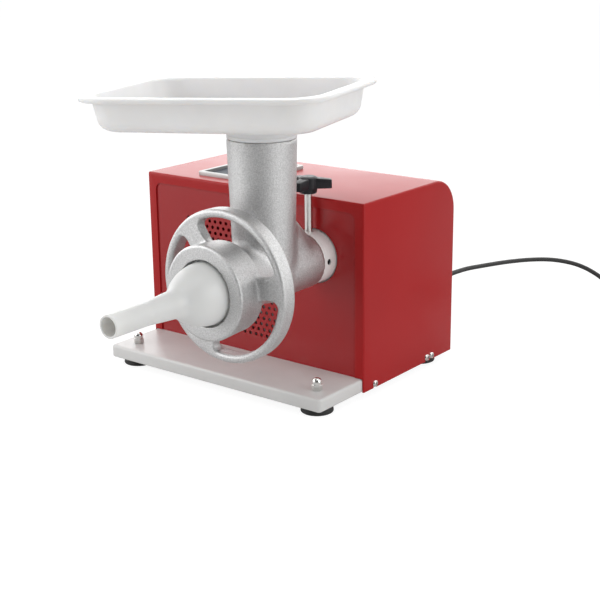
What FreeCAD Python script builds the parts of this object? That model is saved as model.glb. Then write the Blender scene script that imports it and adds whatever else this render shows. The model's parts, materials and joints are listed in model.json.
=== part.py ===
"""Electric meat grinder: a red sheet-metal drive box on a plastic board, with a cast grinder in front.

Millimetres, +Z up. The ring nut faces -Y and the feed tube stands to the right of the middle.
Places are worked out from the middle of the cover's front edge, on the table, and every piece is then
moved by shift_x and shift_y, so that the origin lies under the middle of the object.
"""
import FreeCAD
import Part
import math
import os
import re

import Sketcher
from FreeCAD import Placement, Rotation, Vector

# Driving dimensions: millimetres, degrees and counts.
SIZES = {
    # Sheet cover
    "casing_width": 290.0,
    "casing_depth": 169.0,
    "casing_height": 195.0,
    "sheet": 1.5,
    "lip_width": 11.0,
    "lip_corner": 8.0,
    "rear_round": 36.0,
    "edge_round": 2.0,
    "fit_gap": 0.4,
    # Board, feet and their bolts
    "plate_overhang": 71.0,
    "plate_thickness": 14.0,
    "plate_corner": 4.0,
    "plate_edge": 2.0,
    "foot_height": 8.0,
    "foot_radius": 17.0,
    "foot_waist": 15.0,
    "foot_inset": 22.0,
    "foot_front_inset": 22.4,
    "foot_rear_inset": 30.4,
    "bolt_radius": 3.0,
    "bolt_head_radius": 5.5,
    "bolt_head_height": 3.2,
    "bolt_head_inset": 0.8,
    "bolt_hole_gap": 0.2,
    "dome_nut_flats": 10.0,
    "dome_nut_height": 5.0,
    "dome_nut_neck": 2.0,
    "dome_nut_dome": 4.75,
    "dome_nut_washer_radius": 5.2,
    "dome_nut_washer": 1.2,
    "thread_gap": 0.05,
    # Cover screws in the board's sides
    "screw_front": 20.5,
    "screw_rear_inset": 46.0,
    "screw_pair": 9.2,
    "screw_rise": 4.5,
    "screw_radius": 2.0,
    "screw_head_radius": 3.8,
    "screw_head_height": 2.2,
    "screw_length": 14.0,
    # Front panel and its vents
    "vent_pitch": 7.65,
    "vent_row": 6.4,
    "vent_radius": 1.95,
    "vent_columns": 17,
    "vent_rows": 19,
    "angle_length": 110.0,
    "angle_leg": 8.0,
    # Switch panel on the top
    "bezel_x": -49.5,
    "bezel_y": 63.5,
    "bezel_width": 75.0,
    "bezel_depth": 93.0,
    "bezel_height": 4.0,
    "bezel_border": 5.0,
    "bezel_corner": 4.0,
    "face_sheet": 1.0,
    "switch_x": -36.0,
    "rocker_y": 80.0,
    "rocker_width": 18.0,
    "rocker_length": 26.0,
    "rocker_height": 7.0,
    "rocker_pin_radius": 1.5,
    "switch_wall": 2.0,
    "switch_body_depth": 24.0,
    "switch_rise": 2.0,
    "button_y": 42.0,
    "button_radius": 6.0,
    "button_height": 6.0,
    "button_travel": 2.5,
    "button_collar": 2.0,
    # Output collar and clamp
    "barrel_inset": 62.0,
    "barrel_drop": 61.0,
    "collar_length": 17.0,
    "collar_radius": 27.0,
    "collar_bore": 22.0,
    "collar_flange_radius": 39.0,
    "collar_flange": 4.0,
    "collar_panel_gap": 1.5,
    "collar_screw_circle": 33.0,
    "collar_screw_count": 4,
    "stud_ahead": 7.5,
    "stud_radius": 4.0,
    "grub_radius": 3.0,
    "grub_recess": 0.8,
    "knob_clear": 5.0,
    "knob_height": 17.0,
    "knob_radius": 10.5,
    "knob_reach": 23.5,
    "knob_arm_width": 9.0,
    "knob_arm_height": 9.0,
    "knob_arms": 3,
    "knob_arm_turn": 38.0,
    "knob_socket": 12.0,
    # Grinder body
    "spigot_reach": 5.0,
    "spigot_gap": 0.15,
    "move_gap": 0.3,
    "run_gap": 0.06,
    "tail_radius": 28.0,
    "tail_wall": 7.0,
    "swell_start": 98.0,
    "swell_end": 122.0,
    "barrel_radius": 33.0,
    "flare_start": 124.0,
    "thread_start": 131.0,
    "barrel_front": 152.0,
    "thread_radius": 39.5,
    "screw_bore": 23.0,
    "chamber_bore": 35.2,
    "chamber_depth": 21.0,
    "chamber_cone": 9.0,
    "journal_radius": 10.0,
    "column_ahead": 78.0,
    "column_rise": 131.0,
    "column_foot_radius": 29.5,
    "column_top_radius": 33.2,
    "rear_blend": 12.0,
    "front_blend": 8.0,
    "gusset_radius": 24.0,
    "gusset_rise": 52.0,
    "gusset_length": 59.4,
    "feed_bore": 25.5,
    "neck_bore": 27.5,
    "neck_depth": 14.0,
    "neck_clear": 2.0,
    # Feed screw, washer, knife and plate
    "tang_side": 14.0,
    "tang_length": 18.0,
    "washer_thickness": 1.5,
    "screw_shoulder": 4.0,
    "screw_core": 11.0,
    "flight_pitch": 32.0,
    "flight_root": 5.0,
    "flight_tip": 3.0,
    "flight_gap": 0.6,
    "flight_clear": 1.0,
    "knife_side": 12.0,
    "knife_thickness": 10.5,
    "knife_hub": 13.0,
    "knife_reach": 33.0,
    "knife_blade": 11.0,
    "pin_radius": 6.0,
    "mince_plate": 8.0,
    "mince_plate_radius": 35.0,
    "mince_hole": 3.0,
    # Ring nut
    "nut_rear": 133.0,
    "nut_front": 166.0,
    "nut_opening": 31.5,
    "nut_lip": 8.5,
    "hub_radius": 44.0,
    "hub_front_radius": 45.5,
    "hub_round": 2.0,
    "rim_radius": 73.4,
    "rim_inner": 65.5,
    "rim_rear": 122.5,
    "rim_thickness": 17.6,
    "rim_round": 3.0,
    "lug_count": 3,
    "lug_width": 20.0,
    "lug_rear": 130.0,
    "lug_depth": 10.0,
    "lug_turn": 7.0,
    "lug_blend": 7.0,
    # Stuffing funnel
    "funnel_flange": 4.6,
    "funnel_flange_radius": 39.0,
    "funnel_base_radius": 29.5,
    "funnel_shoulder_radius": 13.5,
    "funnel_shoulder": 203.0,
    "funnel_straight": 45.0,
    "funnel_tip_radius": 10.5,
    "funnel_reach": 285.0,
    "funnel_wall": 2.0,
    # Feed tray
    "tray_turn": 15.0,
    "tray_tilt": 2.25,
    "tray_offset": 31.4,
    "tray_length": 249.0,
    "tray_width": 176.0,
    "tray_rim_corner": 34.0,
    "tray_rim": 9.5,
    "tray_rim_thickness": 5.0,
    "tray_depth": 34.0,
    "tray_wall": 3.0,
    "tray_wall_lean": 4.0,
    "tray_floor_round": 12.0,
    "tray_rise": 13.0,
    "throat_radius": 24.5,
    # Gearbox
    "gearbox_set_back": 12.0,
    "gearbox_wall": 5.0,
    "gearbox_cover": 8.0,
    "gearbox_shell": 4.5,
    "gear_clear": 1.5,
    "gear_step": 3.0,
    "gear_backlash": 0.25,
    "module_one": 1.25,
    "module_two": 2.0,
    "motor_teeth": 14,
    "middle_teeth": 72,
    "pinion_teeth": 14,
    "output_teeth": 50,
    "gear_width_one": 7.0,
    "gear_width_two": 12.0,
    "motor_pocket": 16.0,
    "stage_two_turn": 205.0,
    "stage_one_turn": 195.0,
    "output_shaft_radius": 14.0,
    "output_tail_radius": 10.0,
    "output_bearing_radius": 24.0,
    "output_bearing_width": 10.0,
    "output_tail_bearing_radius": 19.0,
    "socket_start": 7.0,
    "socket_depth": 20.0,
    "seal_width": 3.0,
    "middle_shaft_radius": 8.0,
    "bush_radius": 12.0,
    "bush_inset": 2.0,
    "boss_wall": 4.0,
    "cover_bolt_radius": 2.5,
    "cover_bolt_head": 4.2,
    "cover_bolt_head_height": 3.5,
    "cover_bolt_boss": 6.0,
    "pedestal_width": 50.0,
    "pedestal_ear": 16.0,
    "pedestal_ear_height": 8.0,
    "pedestal_bolt_depth": 10.0,
    # Motor
    "motor_radius": 48.0,
    "stator_bore": 28.0,
    "rear_room": 10.5,
    "air_gap": 0.4,
    "shield_depth": 18.0,
    "shield_disc": 6.0,
    "shield_rim": 6.0,
    "motor_shaft_radius": 6.0,
    "motor_bearing_radius": 14.0,
    "motor_bearing_width": 9.0,
    "winding_inner": 30.0,
    "winding_outer": 41.0,
    "winding_length": 10.0,
    "motor_bolt_radius": 2.0,
    "motor_bolt_circle": 45.0,
    "motor_bolts": 4,
    "motor_bolt_head": 3.5,
    "motor_bolt_head_height": 3.0,
    "fan_radius": 36.0,
    "fan_hub": 11.0,
    "fan_width": 9.0,
    "fan_gap": 3.0,
    "fan_blades": 8,
    "fan_blade": 2.0,
    "cradle_width": 70.0,
    "cradle_length": 40.0,
    "capacitor_radius": 17.5,
    "capacitor_length": 70.0,
    "capacitor_clear": 11.0,
    "capacitor_foot_gap": 8.6,
    "capacitor_rise": 5.0,
    "clip_width": 15.0,
    "clip_wall": 3.0,
    "terminal_inset": 49.0,
    "terminal_rear_inset": 41.0,
    "terminal_width": 40.0,
    "terminal_depth": 20.0,
    "terminal_height": 18.0,
    # Mains cord
    "gland_inset": 25.0,
    "gland_z": 82.0,
    "gland_hole": 8.0,
    "gland_flange": 10.5,
    "gland_flange_thickness": 3.0,
    "gland_length": 35.0,
    "gland_root": 7.0,
    "gland_tip": 4.2,
    "cord_radius": 2.6,
    "coil_gap": 0.6,
    "coil_outer": 37.7,
    "coil_turns_in": 3,
    "coil_turns_out": 2.5,
    "coil_climb": 0.5,
    "coil_tail": 34.0,
    "tie_thickness": 0.8,
    "tie_width": 8.0,
    "tie_clear": 0.9,
    "plug_width": 36.0,
    "plug_length": 30.0,
    "plug_relief": 24.0,
    "plug_relief_radius": 5.5,
    "plug_pin_radius": 2.4,
    "plug_pin_length": 19.0,
    "plug_pin_spread": 19.0,
    "plug_edge": 3.0,
}

# Places that follow from the sizes.
PLACES = {
    "foot_spread": "casing_width/2 - foot_inset",
    "foot_front": "plate_overhang - foot_front_inset",
    "foot_rear": "casing_depth - foot_rear_inset",
    "screw_rear": "casing_depth - screw_rear_inset",
    "barrel_x": "casing_width/2 - barrel_inset",
    "barrel_z": "foot_height + casing_height - barrel_drop",
    "column_top": "barrel_z + column_rise",
    "gland_x": "casing_width/2 - gland_inset",
    "capacitor_y": "foot_rear - capacitor_foot_gap - capacitor_length",
    "capacitor_x": "sheet + capacitor_clear + clip_wall + capacitor_radius - casing_width/2",
    "terminal_x": "casing_width/2 - terminal_inset",
    "terminal_y": "casing_depth - terminal_rear_inset",
    "casing_top": "foot_height + casing_height",
    "plate_top": "foot_height + plate_thickness",
    "inside_half": "casing_width/2 - sheet",
    "screw_z": "foot_height + screw_rise",
    "panel_rear": "2*sheet",
    "face_top": "foot_height + casing_height + face_sheet",
    "grub_ahead": "stud_ahead + 2",
    "spigot_radius": "collar_bore - spigot_gap",
    "body_shoulder": "collar_length + move_gap",
    "washer_start": "collar_length + tail_wall",
    "shoulder_start": "collar_length + tail_wall + washer_thickness + move_gap",
    "core_start": "collar_length + tail_wall + washer_thickness + move_gap + screw_shoulder",
    "chamber_start": "barrel_front - chamber_depth",
    "plate_start": "barrel_front - mince_plate + move_gap",
    "knife_start": "barrel_front - mince_plate - knife_thickness",
    "funnel_start": "barrel_front + 2*move_gap",
    "nut_seat": "nut_front - nut_lip",
    "knob_bottom": "foot_height + casing_height + knob_clear",
    "tray_bottom": "column_top + tray_rise",
    "tray_right": "barrel_x - tray_offset*cos(tray_turn) + (tray_length/2 - tray_rim_corner)*cos(tray_turn)"
                  " + (tray_width/2 - tray_rim_corner)*sin(tray_turn) + tray_rim_corner",
    "pitch_one": "(motor_teeth + middle_teeth)*module_one/2",
    "pitch_two": "(pinion_teeth + output_teeth)*module_two/2",
    "middle_x": "barrel_x + pitch_two*cos(stage_two_turn)",
    "middle_z": "barrel_z + pitch_two*sin(stage_two_turn)",
    "motor_x": "middle_x + pitch_one*cos(stage_one_turn)",
    "motor_z": "middle_z + pitch_one*sin(stage_one_turn)",
    "output_tip": "output_teeth*module_two/2 + module_two",
    "middle_tip": "middle_teeth*module_one/2 + module_one",
    "gear_two_y": "gearbox_set_back + output_bearing_width + 4",
    "gear_one_y": "gear_two_y + gear_width_two + gear_step",
    "box_rear": "gear_one_y + gear_width_one + gear_step",
    "cover_rear": "box_rear + gearbox_cover",
    "stator_y": "cover_rear + shield_depth",
    "stator_length": "casing_depth - sheet - rear_room - fan_width - fan_gap - shield_depth - stator_y",
    "rear_shield_y": "stator_y + stator_length",
    "motor_rear": "rear_shield_y + shield_depth",
    "shift_x": "(casing_width/2 + screw_head_height - tray_right)/2",
    "shift_y": "(funnel_reach - casing_depth)/2",
}

# Route of the free cord from the gland's end to the coil, measured like every other place.
CORD_ROUTE = [
    (120.0, 204.0, 82.0),
    (120.4, 233.0, 81.4),
    (125.0, 264.0, 78.8),
    (134.0, 311.0, 75.2),
    (147.0, 354.0, 70.8),
    (162.0, 383.0, 66.2),
    (182.0, 407.0, 57.6),
    (203.0, 420.0, 43.8),
    (220.0, 427.5, 27.5),
    (236.0, 432.0, 13.2),
    (253.0, 434.5, 4.9),
    (272.0, 434.8, 3.6),
    (289.0, 432.6, 3.6),
]

FORWARD = Rotation(Vector(1, 0, 0), 90)
REARWARD = Rotation(Vector(1, 0, 0), -90)
RIGHTWARD = Rotation(Vector(0, 1, 0), 90)
LEFTWARD = Rotation(Vector(0, 1, 0), -90)
SLANTED = Rotation(Vector(1, 0, 0), -135)
LINE_UP = 1e-6

doc = FreeCAD.newDocument("meat_grinder")
sub_parts = []


# Sheets and formulas

def fill_sheets():
    """Write the sizes as plain numbers and the places as formulas, each under its own name."""
    sizes = doc.addObject("Spreadsheet::Sheet", "sizes")
    for row, (name, number) in enumerate(SIZES.items(), start=1):
        sizes.set(f"A{row}", name)
        sizes.set(f"B{row}", str(number))
        sizes.setAlias(f"B{row}", name)
    doc.recompute()
    places = doc.addObject("Spreadsheet::Sheet", "places")
    for row, (name, formula) in enumerate(PLACES.items(), start=1):
        places.set(f"A{row}", name)
        places.set(f"B{row}", "=" + qualified(formula, inside="places"))
        places.setAlias(f"B{row}", name)
    doc.recompute()


def qualified(formula, inside=None):
    """Put the sheet's name before each size and place that a formula uses."""
    def full(match):
        word = match.group()
        if word in SIZES:
            return "sizes." + word
        if word in PLACES:
            return word if inside == "places" else "places." + word
        return word
    return re.sub(r"[a-z][a-z_]*", full, formula)


def value(formula):
    """The number that a formula gives with the sheet as it stands."""
    return float(doc.getObject("places").evalExpression(qualified(formula)))


def bind(thing, **formulas):
    for prop, formula in formulas.items():
        thing.setExpression(prop, qualified(formula))


def place(thing, at, turn=None):
    """Bind a thing's position, moved so that the origin is under the middle of the object."""
    if turn is not None:
        thing.Placement = Placement(Vector(), turn)
    across, along, up = at
    thing.setExpression(".Placement.Base.x", qualified(f"{across} + shift_x"))
    thing.setExpression(".Placement.Base.y", qualified(f"{along} + shift_y"))
    thing.setExpression(".Placement.Base.z", qualified(up))
    return thing


def named(thing, label):
    """Give a finished sub-part the label that names its file."""
    thing.Label = label
    sub_parts.append(thing)
    return thing


# Primitives, booleans and profiles

def box(name, size, at):
    block = doc.addObject("Part::Box", name)
    bind(block, Length=size[0], Width=size[1], Height=size[2])
    return place(block, at)


def middle_box(name, size, at):
    """A box whose place is the middle of its foot."""
    across, along, up = at
    return box(name, size, (f"{across} - ({size[0]})/2", f"{along} - ({size[1]})/2", up))


def cylinder(name, radius, length, at, turn=None):
    rod = doc.addObject("Part::Cylinder", name)
    bind(rod, Radius=radius, Height=length)
    return place(rod, at, turn)


def cone(name, low, high, length, at, turn=None):
    taper = doc.addObject("Part::Cone", name)
    bind(taper, Radius1=low, Radius2=high, Height=length)
    return place(taper, at, turn)


def joined(name, things):
    if len(things) == 1:
        return things[0]
    union = doc.addObject("Part::MultiFuse", name)
    union.Shapes = things
    return union


def cut(name, base, tools):
    """Take the tools away from the base."""
    result = doc.addObject("Part::Cut", name)
    result.Base = base
    result.Tool = joined(name + "_tools", tools)
    return result


def group(name, things):
    """Several separate solids that are one sub-part."""
    together = doc.addObject("Part::Compound", name)
    together.Links = things
    return together


def rounded(name, base, radius, picks):
    """Round the edges that picks accepts."""
    doc.recompute()
    amount = value(radius)
    soft = doc.addObject("Part::Fillet", name)
    soft.Base = base
    numbers = [n for n, edge in enumerate(base.Shape.Edges, start=1) if picks(edge)]
    soft.Edges = [(n, amount, amount) for n in numbers]
    return soft


def runs_along(edge, axis):
    """True for a straight edge along one axis (0, 1 or 2)."""
    if not isinstance(edge.Curve, (Part.Line, Part.LineSegment)):
        return False
    way = edge.Vertexes[-1].Point - edge.Vertexes[0].Point
    return abs(abs(way[axis]) - way.Length) < LINE_UP


def ring_edge(edge, radius, middle, axis):
    """True for a circle of that radius whose centre has that coordinate along an axis."""
    if not isinstance(edge.Curve, Part.Circle):
        return False
    return abs(edge.Curve.Radius - radius) < 1e-3 and abs(edge.Curve.Center[axis] - middle) < 1e-3


def origin_plane(body, role):
    return next(f for f in body.Origin.OriginFeatures if f.Role == role)


def draw(sketch, corners):
    """A closed outline of straight lines whose corners are bound to formulas, none of them negative."""
    spots = [Vector(value(across), value(up), 0) for across, up in corners]
    count = len(spots)
    for n in range(count):
        sketch.addGeometry(Part.LineSegment(spots[n], spots[(n + 1) % count]))
    for n in range(count):
        sketch.addConstraint(Sketcher.Constraint("Coincident", n, 2, (n + 1) % count, 1))
    for n, corner in enumerate(corners):
        for kind, axis, formula in (("DistanceX", -2, corner[0]), ("DistanceY", -1, corner[1])):
            if formula == "0":
                sketch.addConstraint(Sketcher.Constraint("PointOnObject", n, 1, axis))
                continue
            number = sketch.addConstraint(Sketcher.Constraint(kind, -1, 1, n, 1, value(formula)))
            sketch.setExpression(f"Constraints[{number}]", qualified(formula))


def turned(name, corners, at, turn=None):
    """A round piece: an outline of (radius, height) corners revolved about its own Z axis."""
    body = doc.addObject("PartDesign::Body", name)
    sketch = body.newObject("Sketcher::SketchObject", name + "_outline")
    sketch.AttachmentSupport = (origin_plane(body, "XZ_Plane"), [""])
    sketch.MapMode = "FlatFace"
    draw(sketch, corners)
    spin = body.newObject("PartDesign::Revolution", name + "_turned")
    spin.Profile = sketch
    spin.ReferenceAxis = (sketch, ["V_Axis"])
    spin.Angle = 360
    return place(body, at, turn)


def ring(name, inner, outer, length, at, turn=None):
    corners = [(inner, "0"), (outer, "0"), (outer, length), (inner, length)]
    return turned(name, corners, at, turn)


def shaped(name, shape, at=("0", "0", "0"), turn=None):
    """A piece whose shape is worked out here, then put in its place."""
    bare = shape.copy()
    bare.Placement = Placement()
    piece = doc.addObject("Part::Feature", name)
    piece.Shape = bare.transformed(shape.Placement.toMatrix(), True)
    return place(piece, at, turn)


def polar(count, first=0.0):
    return [first + 360.0 * n / int(count) for n in range(int(count))]


def on_circle(radius, degrees):
    """Formulas for the two offsets of a point on a circle."""
    return f"({radius})*cos({degrees})", f"({radius})*sin({degrees})"


# Board, feet and cover

FEET = [(side, along) for side in ("-", "") for along in ("-foot_front", "foot_rear")]
SIDES = [("left", -1), ("right", 1)]


def base_plate():
    half = "(inside_half - fit_gap)"
    depth = "plate_overhang + casing_depth - sheet - fit_gap"
    block = box("plate_block", (f"2*{half}", depth, "plate_thickness"),
                (f"-{half}", "-plate_overhang", "foot_height"))
    corners = rounded("plate_corners", block, "plate_corner", lambda edge: runs_along(edge, 2))
    doc.recompute()
    top = value("plate_top")
    soft = rounded("plate_edges", corners, "plate_edge",
                   lambda edge: abs(edge.BoundBox.ZMin - top) < LINE_UP)
    holes = []
    for n, (side, along) in enumerate(FEET):
        holes.append(cylinder(f"plate_bolt_hole_{n}", "bolt_radius + bolt_hole_gap", "plate_thickness + 2",
                              (f"{side}foot_spread", along, "foot_height - 1")))
    for n, (across, along, up, turn) in enumerate(cover_screw_spots()):
        holes.append(cylinder(f"plate_screw_hole_{n}", "screw_radius + thread_gap", "screw_length",
                              (across, along, up), turn))
    for n, side in enumerate(("-", "+")):
        holes.append(cylinder(f"pedestal_hole_{n}", "bolt_radius + thread_gap", "pedestal_bolt_depth",
                              (pedestal_bolt_x(side), "gearbox_set_back + pedestal_ear",
                               "plate_top - pedestal_bolt_depth")))
    return named(cut("plate_drilled", soft, holes), "base_plate")


def cover_screw_spots():
    """Where each cover screw enters: on the cover's outside, pointing inwards."""
    spots = []
    for along in ("screw_front", "screw_rear - screw_pair/2", "screw_rear + screw_pair/2"):
        spots.append(("-casing_width/2", along, "screw_z", RIGHTWARD))
        spots.append(("casing_width/2", along, "screw_z", LEFTWARD))
    return spots


def pedestal_bolt_x(side):
    return f"middle_x {side} (pedestal_width/2 + pedestal_ear/2)"


def rubber_feet():
    feet = []
    for n, (side, along) in enumerate(FEET):
        spot = (f"{side}foot_spread", along, "0")
        pad = cone(f"foot_pad_{n}", "foot_radius", "foot_waist", "foot_height", spot)
        recess = cylinder(f"foot_recess_{n}", "bolt_head_radius + 1", "bolt_head_inset + bolt_head_height",
                          spot)
        hole = cylinder(f"foot_hole_{n}", "bolt_radius + bolt_hole_gap", "foot_height", spot)
        feet.append(cut(f"foot_{n}", pad, [recess, hole]))
    return named(group("feet", feet), "rubber_feet")


def foot_bolts():
    bolts = []
    shank = ("foot_height - bolt_head_inset - bolt_head_height + plate_thickness"
             " + dome_nut_washer + dome_nut_height")
    for n, (side, along) in enumerate(FEET):
        head = cylinder(f"bolt_head_{n}", "bolt_head_radius", "bolt_head_height",
                        (f"{side}foot_spread", along, "bolt_head_inset"))
        rod = cylinder(f"bolt_rod_{n}", "bolt_radius", shank,
                       (f"{side}foot_spread", along, "bolt_head_inset + bolt_head_height"))
        bolts.append(joined(f"foot_bolt_{n}", [head, rod]))
    return named(group("bolts", bolts), "foot_bolts")


def foot_dome_nuts():
    nuts = []
    for n, (side, along) in enumerate(FEET):
        spot = (f"{side}foot_spread", along)
        washer = cylinder(f"nut_washer_{n}", "dome_nut_washer_radius", "dome_nut_washer",
                          (*spot, "plate_top"))
        hexagon = doc.addObject("Part::Prism", f"nut_hexagon_{n}")
        hexagon.Polygon = 6
        bind(hexagon, Circumradius="dome_nut_flats/2/cos(30)", Height="dome_nut_height")
        place(hexagon, (*spot, "plate_top + dome_nut_washer"))
        neck_bottom = "plate_top + dome_nut_washer + dome_nut_height"
        neck = cylinder(f"nut_neck_{n}", "dome_nut_dome", "dome_nut_neck", (*spot, neck_bottom))
        dome = doc.addObject("Part::Sphere", f"nut_dome_{n}")
        bind(dome, Radius="dome_nut_dome")
        place(dome, (*spot, f"{neck_bottom} + dome_nut_neck"))
        bore = cylinder(f"nut_bore_{n}", "bolt_radius + thread_gap", "dome_nut_washer + dome_nut_height",
                        (*spot, "plate_top"))
        nuts.append(cut(f"dome_nut_{n}", joined(f"nut_blank_{n}", [washer, hexagon, neck, dome]), [bore]))
    return named(group("dome_nuts", nuts), "foot_dome_nuts")


def casing_cover():
    """A bent sheet: two sides, top and rear in one sweep, and a lip turned in round the open front."""
    block = box("cover_block", ("casing_width", "casing_depth", "casing_height"),
                ("-casing_width/2", "0", "foot_height"))
    swept = rounded("cover_sweep", block, "rear_round", rear_top_edge("casing_top", "casing_depth"))
    doc.recompute()
    half = value("casing_width/2")
    middle = value("shift_x")
    front = value("shift_y")
    bottom = value("foot_height")

    def side_seam(edge):
        span = edge.BoundBox
        on_side = span.XLength < LINE_UP and abs(abs(span.XMin - middle) - half) < LINE_UP
        at_front = span.YLength < LINE_UP and abs(span.YMin - front) < LINE_UP
        at_bottom = span.ZLength < LINE_UP and abs(span.ZMin - bottom) < LINE_UP
        return on_side and not at_front and not at_bottom

    soft = rounded("cover_seams", swept, "edge_round", side_seam)
    room = box("cover_room_block", ("2*inside_half", "casing_depth - 2*sheet", "casing_height"),
               ("-inside_half", "sheet", "foot_height - sheet"))
    inside = rounded("cover_room", room, "rear_round - sheet",
                     rear_top_edge("casing_top - sheet", "casing_depth - sheet"))
    mouth_block = box("mouth_block",
                      ("casing_width - 2*lip_width", "3*sheet", "casing_height - lip_width + sheet"),
                      ("lip_width - casing_width/2", "-sheet", "foot_height - sheet"))
    doc.recompute()
    mouth_top = value("casing_top - lip_width")
    mouth = rounded("mouth", mouth_block, "lip_corner",
                    lambda edge: runs_along(edge, 1) and abs(edge.BoundBox.ZMin - mouth_top) < LINE_UP)
    passage = box("plate_passage", ("2*inside_half", "3*sheet", "plate_thickness + fit_gap + sheet"),
                  ("-inside_half", "-sheet", "foot_height - sheet"))
    tools = [inside, mouth, passage]
    for n, (across, along, up, turn) in enumerate(cover_screw_spots()):
        wall = f"{across} - 2*sheet"
        tools.append(cylinder(f"slot_end_{n}", "screw_radius + fit_gap", "4*sheet", (wall, along, up),
                              RIGHTWARD))
        tools.append(box(f"slot_{n}", ("4*sheet", "2*(screw_radius + fit_gap)", "screw_rise + sheet"),
                         (wall, f"{along} - screw_radius - fit_gap", "foot_height - sheet")))
    tools.append(cylinder("gland_opening", "gland_hole + thread_gap", "4*sheet",
                          ("gland_x", "casing_depth - 2*sheet", "gland_z"), REARWARD))
    tools.append(switch_opening("cover"))
    tools.append(button_opening("cover"))
    return named(cut("cover_sheet", soft, tools), "casing_cover")


def rear_top_edge(top, rear):
    height = value(top)
    depth = value(f"{rear} + shift_y")

    def picks(edge):
        spot = edge.Vertexes[0].Point
        return runs_along(edge, 0) and abs(spot.z - height) < LINE_UP and abs(spot.y - depth) < LINE_UP
    return picks


def switch_opening(name):
    """Room for the switch body through the top and its dark face."""
    size = ("rocker_width + 2*(move_gap + switch_wall) + fit_gap",
            "rocker_length + 2*(move_gap + switch_wall) + fit_gap",
            "4*sheet + 2*face_sheet")
    return middle_box(name + "_switch_opening", size, ("switch_x", "rocker_y", "casing_top - 2*sheet"))


def button_opening(name):
    return cylinder(name + "_button_opening", "button_radius + button_collar + fit_gap",
                    "4*sheet + 2*face_sheet",
                    ("switch_x", "button_y", "casing_top - 2*sheet"))


def casing_screws():
    screws = []
    for n, (across, along, up, turn) in enumerate(cover_screw_spots()):
        outward = LEFTWARD if turn is RIGHTWARD else RIGHTWARD
        head = cylinder(f"cover_screw_head_{n}", "screw_head_radius", "screw_head_height",
                        (across, along, up), outward)
        soft = rounded(f"cover_screw_pan_{n}", head, "screw_head_height*0.6", far_ring(head, across))
        rod = cylinder(f"cover_screw_rod_{n}", "screw_radius", "screw_length", (across, along, up), turn)
        screws.append(joined(f"cover_screw_{n}", [soft, rod]))
    return named(group("cover_screws", screws), "casing_screws")


def far_ring(rod, across):
    """The edge of a sideways cylinder that lies away from its seat."""
    seat = value(f"{across} + shift_x")
    return lambda edge: isinstance(edge.Curve, Part.Circle) and abs(edge.Curve.Center.x - seat) > LINE_UP


def front_panel():
    """A flat sheet behind the lip, with a staggered field of vents in front of the motor."""
    half = value("inside_half - fit_gap")
    bottom = value("plate_top")
    top = value("casing_top - sheet - fit_gap")
    corners = [Vector(-half, 0, bottom), Vector(half, 0, bottom), Vector(half, 0, top),
               Vector(-half, 0, top)]
    wires = [Part.makePolygon(corners + corners[:1])]
    wires.append(circle_wire(value("collar_radius + collar_panel_gap"),
                             Vector(value("barrel_x"), 0, value("barrel_z"))))
    wires += [circle_wire(value("vent_radius"), spot) for spot in vent_spots()]
    sheet = Part.Face(wires, "Part::FaceMakerCheese").extrude(Vector(0, value("sheet"), 0))
    return named(shaped("panel_sheet", sheet, ("0", "sheet", "0")), "front_panel")


def circle_wire(radius, middle):
    return Part.Wire(Part.makeCircle(radius, middle, Vector(0, 1, 0)))


def vent_spots():
    columns = int(value("vent_columns"))
    rows = int(value("vent_rows"))
    spots = []
    for row in range(rows):
        short = row % 2
        for column in range(columns - short):
            across = (column - (columns - 1 - short) / 2) * value("vent_pitch")
            up = (row - (rows - 1) / 2) * value("vent_row")
            spots.append(Vector(value("motor_x") + across, 0, value("motor_z") + up))
    return spots


def panel_angle():
    low = ("motor_x - angle_length/2", "panel_rear", "plate_top")
    upright = box("angle_upright", ("angle_length", "sheet", "angle_leg"), low)
    foot = box("angle_foot", ("angle_length", "angle_leg", "sheet"), low)
    return named(joined("angle_strip", [upright, foot]), "panel_angle")


# Switch panel

def switch_bezel():
    frame = middle_box("bezel_block", ("bezel_width", "bezel_depth", "bezel_height"),
                       ("bezel_x", "bezel_y", "casing_top"))
    soft = rounded("bezel_corners", frame, "bezel_corner", lambda edge: runs_along(edge, 2))
    window = middle_box("bezel_window", ("bezel_width - 2*bezel_border", "bezel_depth - 2*bezel_border",
                                         "bezel_height + 2"), ("bezel_x", "bezel_y", "casing_top - 1"))
    return named(cut("bezel_frame", soft, [window]), "switch_bezel")


def switch_face():
    face = middle_box("face_sheet_block", ("bezel_width - 2*bezel_border - fit_gap",
                                           "bezel_depth - 2*bezel_border - fit_gap", "face_sheet"),
                      ("bezel_x", "bezel_y", "casing_top"))
    return named(cut("face_cut", face, [switch_opening("face"), button_opening("face")]), "switch_face")


def switch_housing():
    spot = ("switch_x", "rocker_y")
    wide = "rocker_width + 2*(move_gap + switch_wall)"
    long = "rocker_length + 2*(move_gap + switch_wall)"
    body = middle_box("switch_block", (wide, long, "switch_body_depth + face_sheet + switch_rise"),
                      (*spot, "casing_top - switch_body_depth"))
    brim = middle_box("switch_brim", (f"{wide} + 2*switch_wall", f"{long} + 2*switch_wall", "switch_rise"),
                      (*spot, "face_top"))
    well = middle_box("switch_well", ("rocker_width + 2*move_gap", "rocker_length + 4*move_gap",
                                      "rocker_height + switch_rise + 1"),
                      (*spot, "face_top + switch_rise - rocker_height - 1"))
    pivot = cylinder("rocker_pivot_hole", "rocker_pin_radius + run_gap", f"{wide} - 2",
                     (f"switch_x - ({wide} - 2)/2", "rocker_y", "face_top"), RIGHTWARD)
    return named(cut("switch_shell", joined("switch_blank", [body, brim]), [well, pivot]), "switch_housing")


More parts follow.
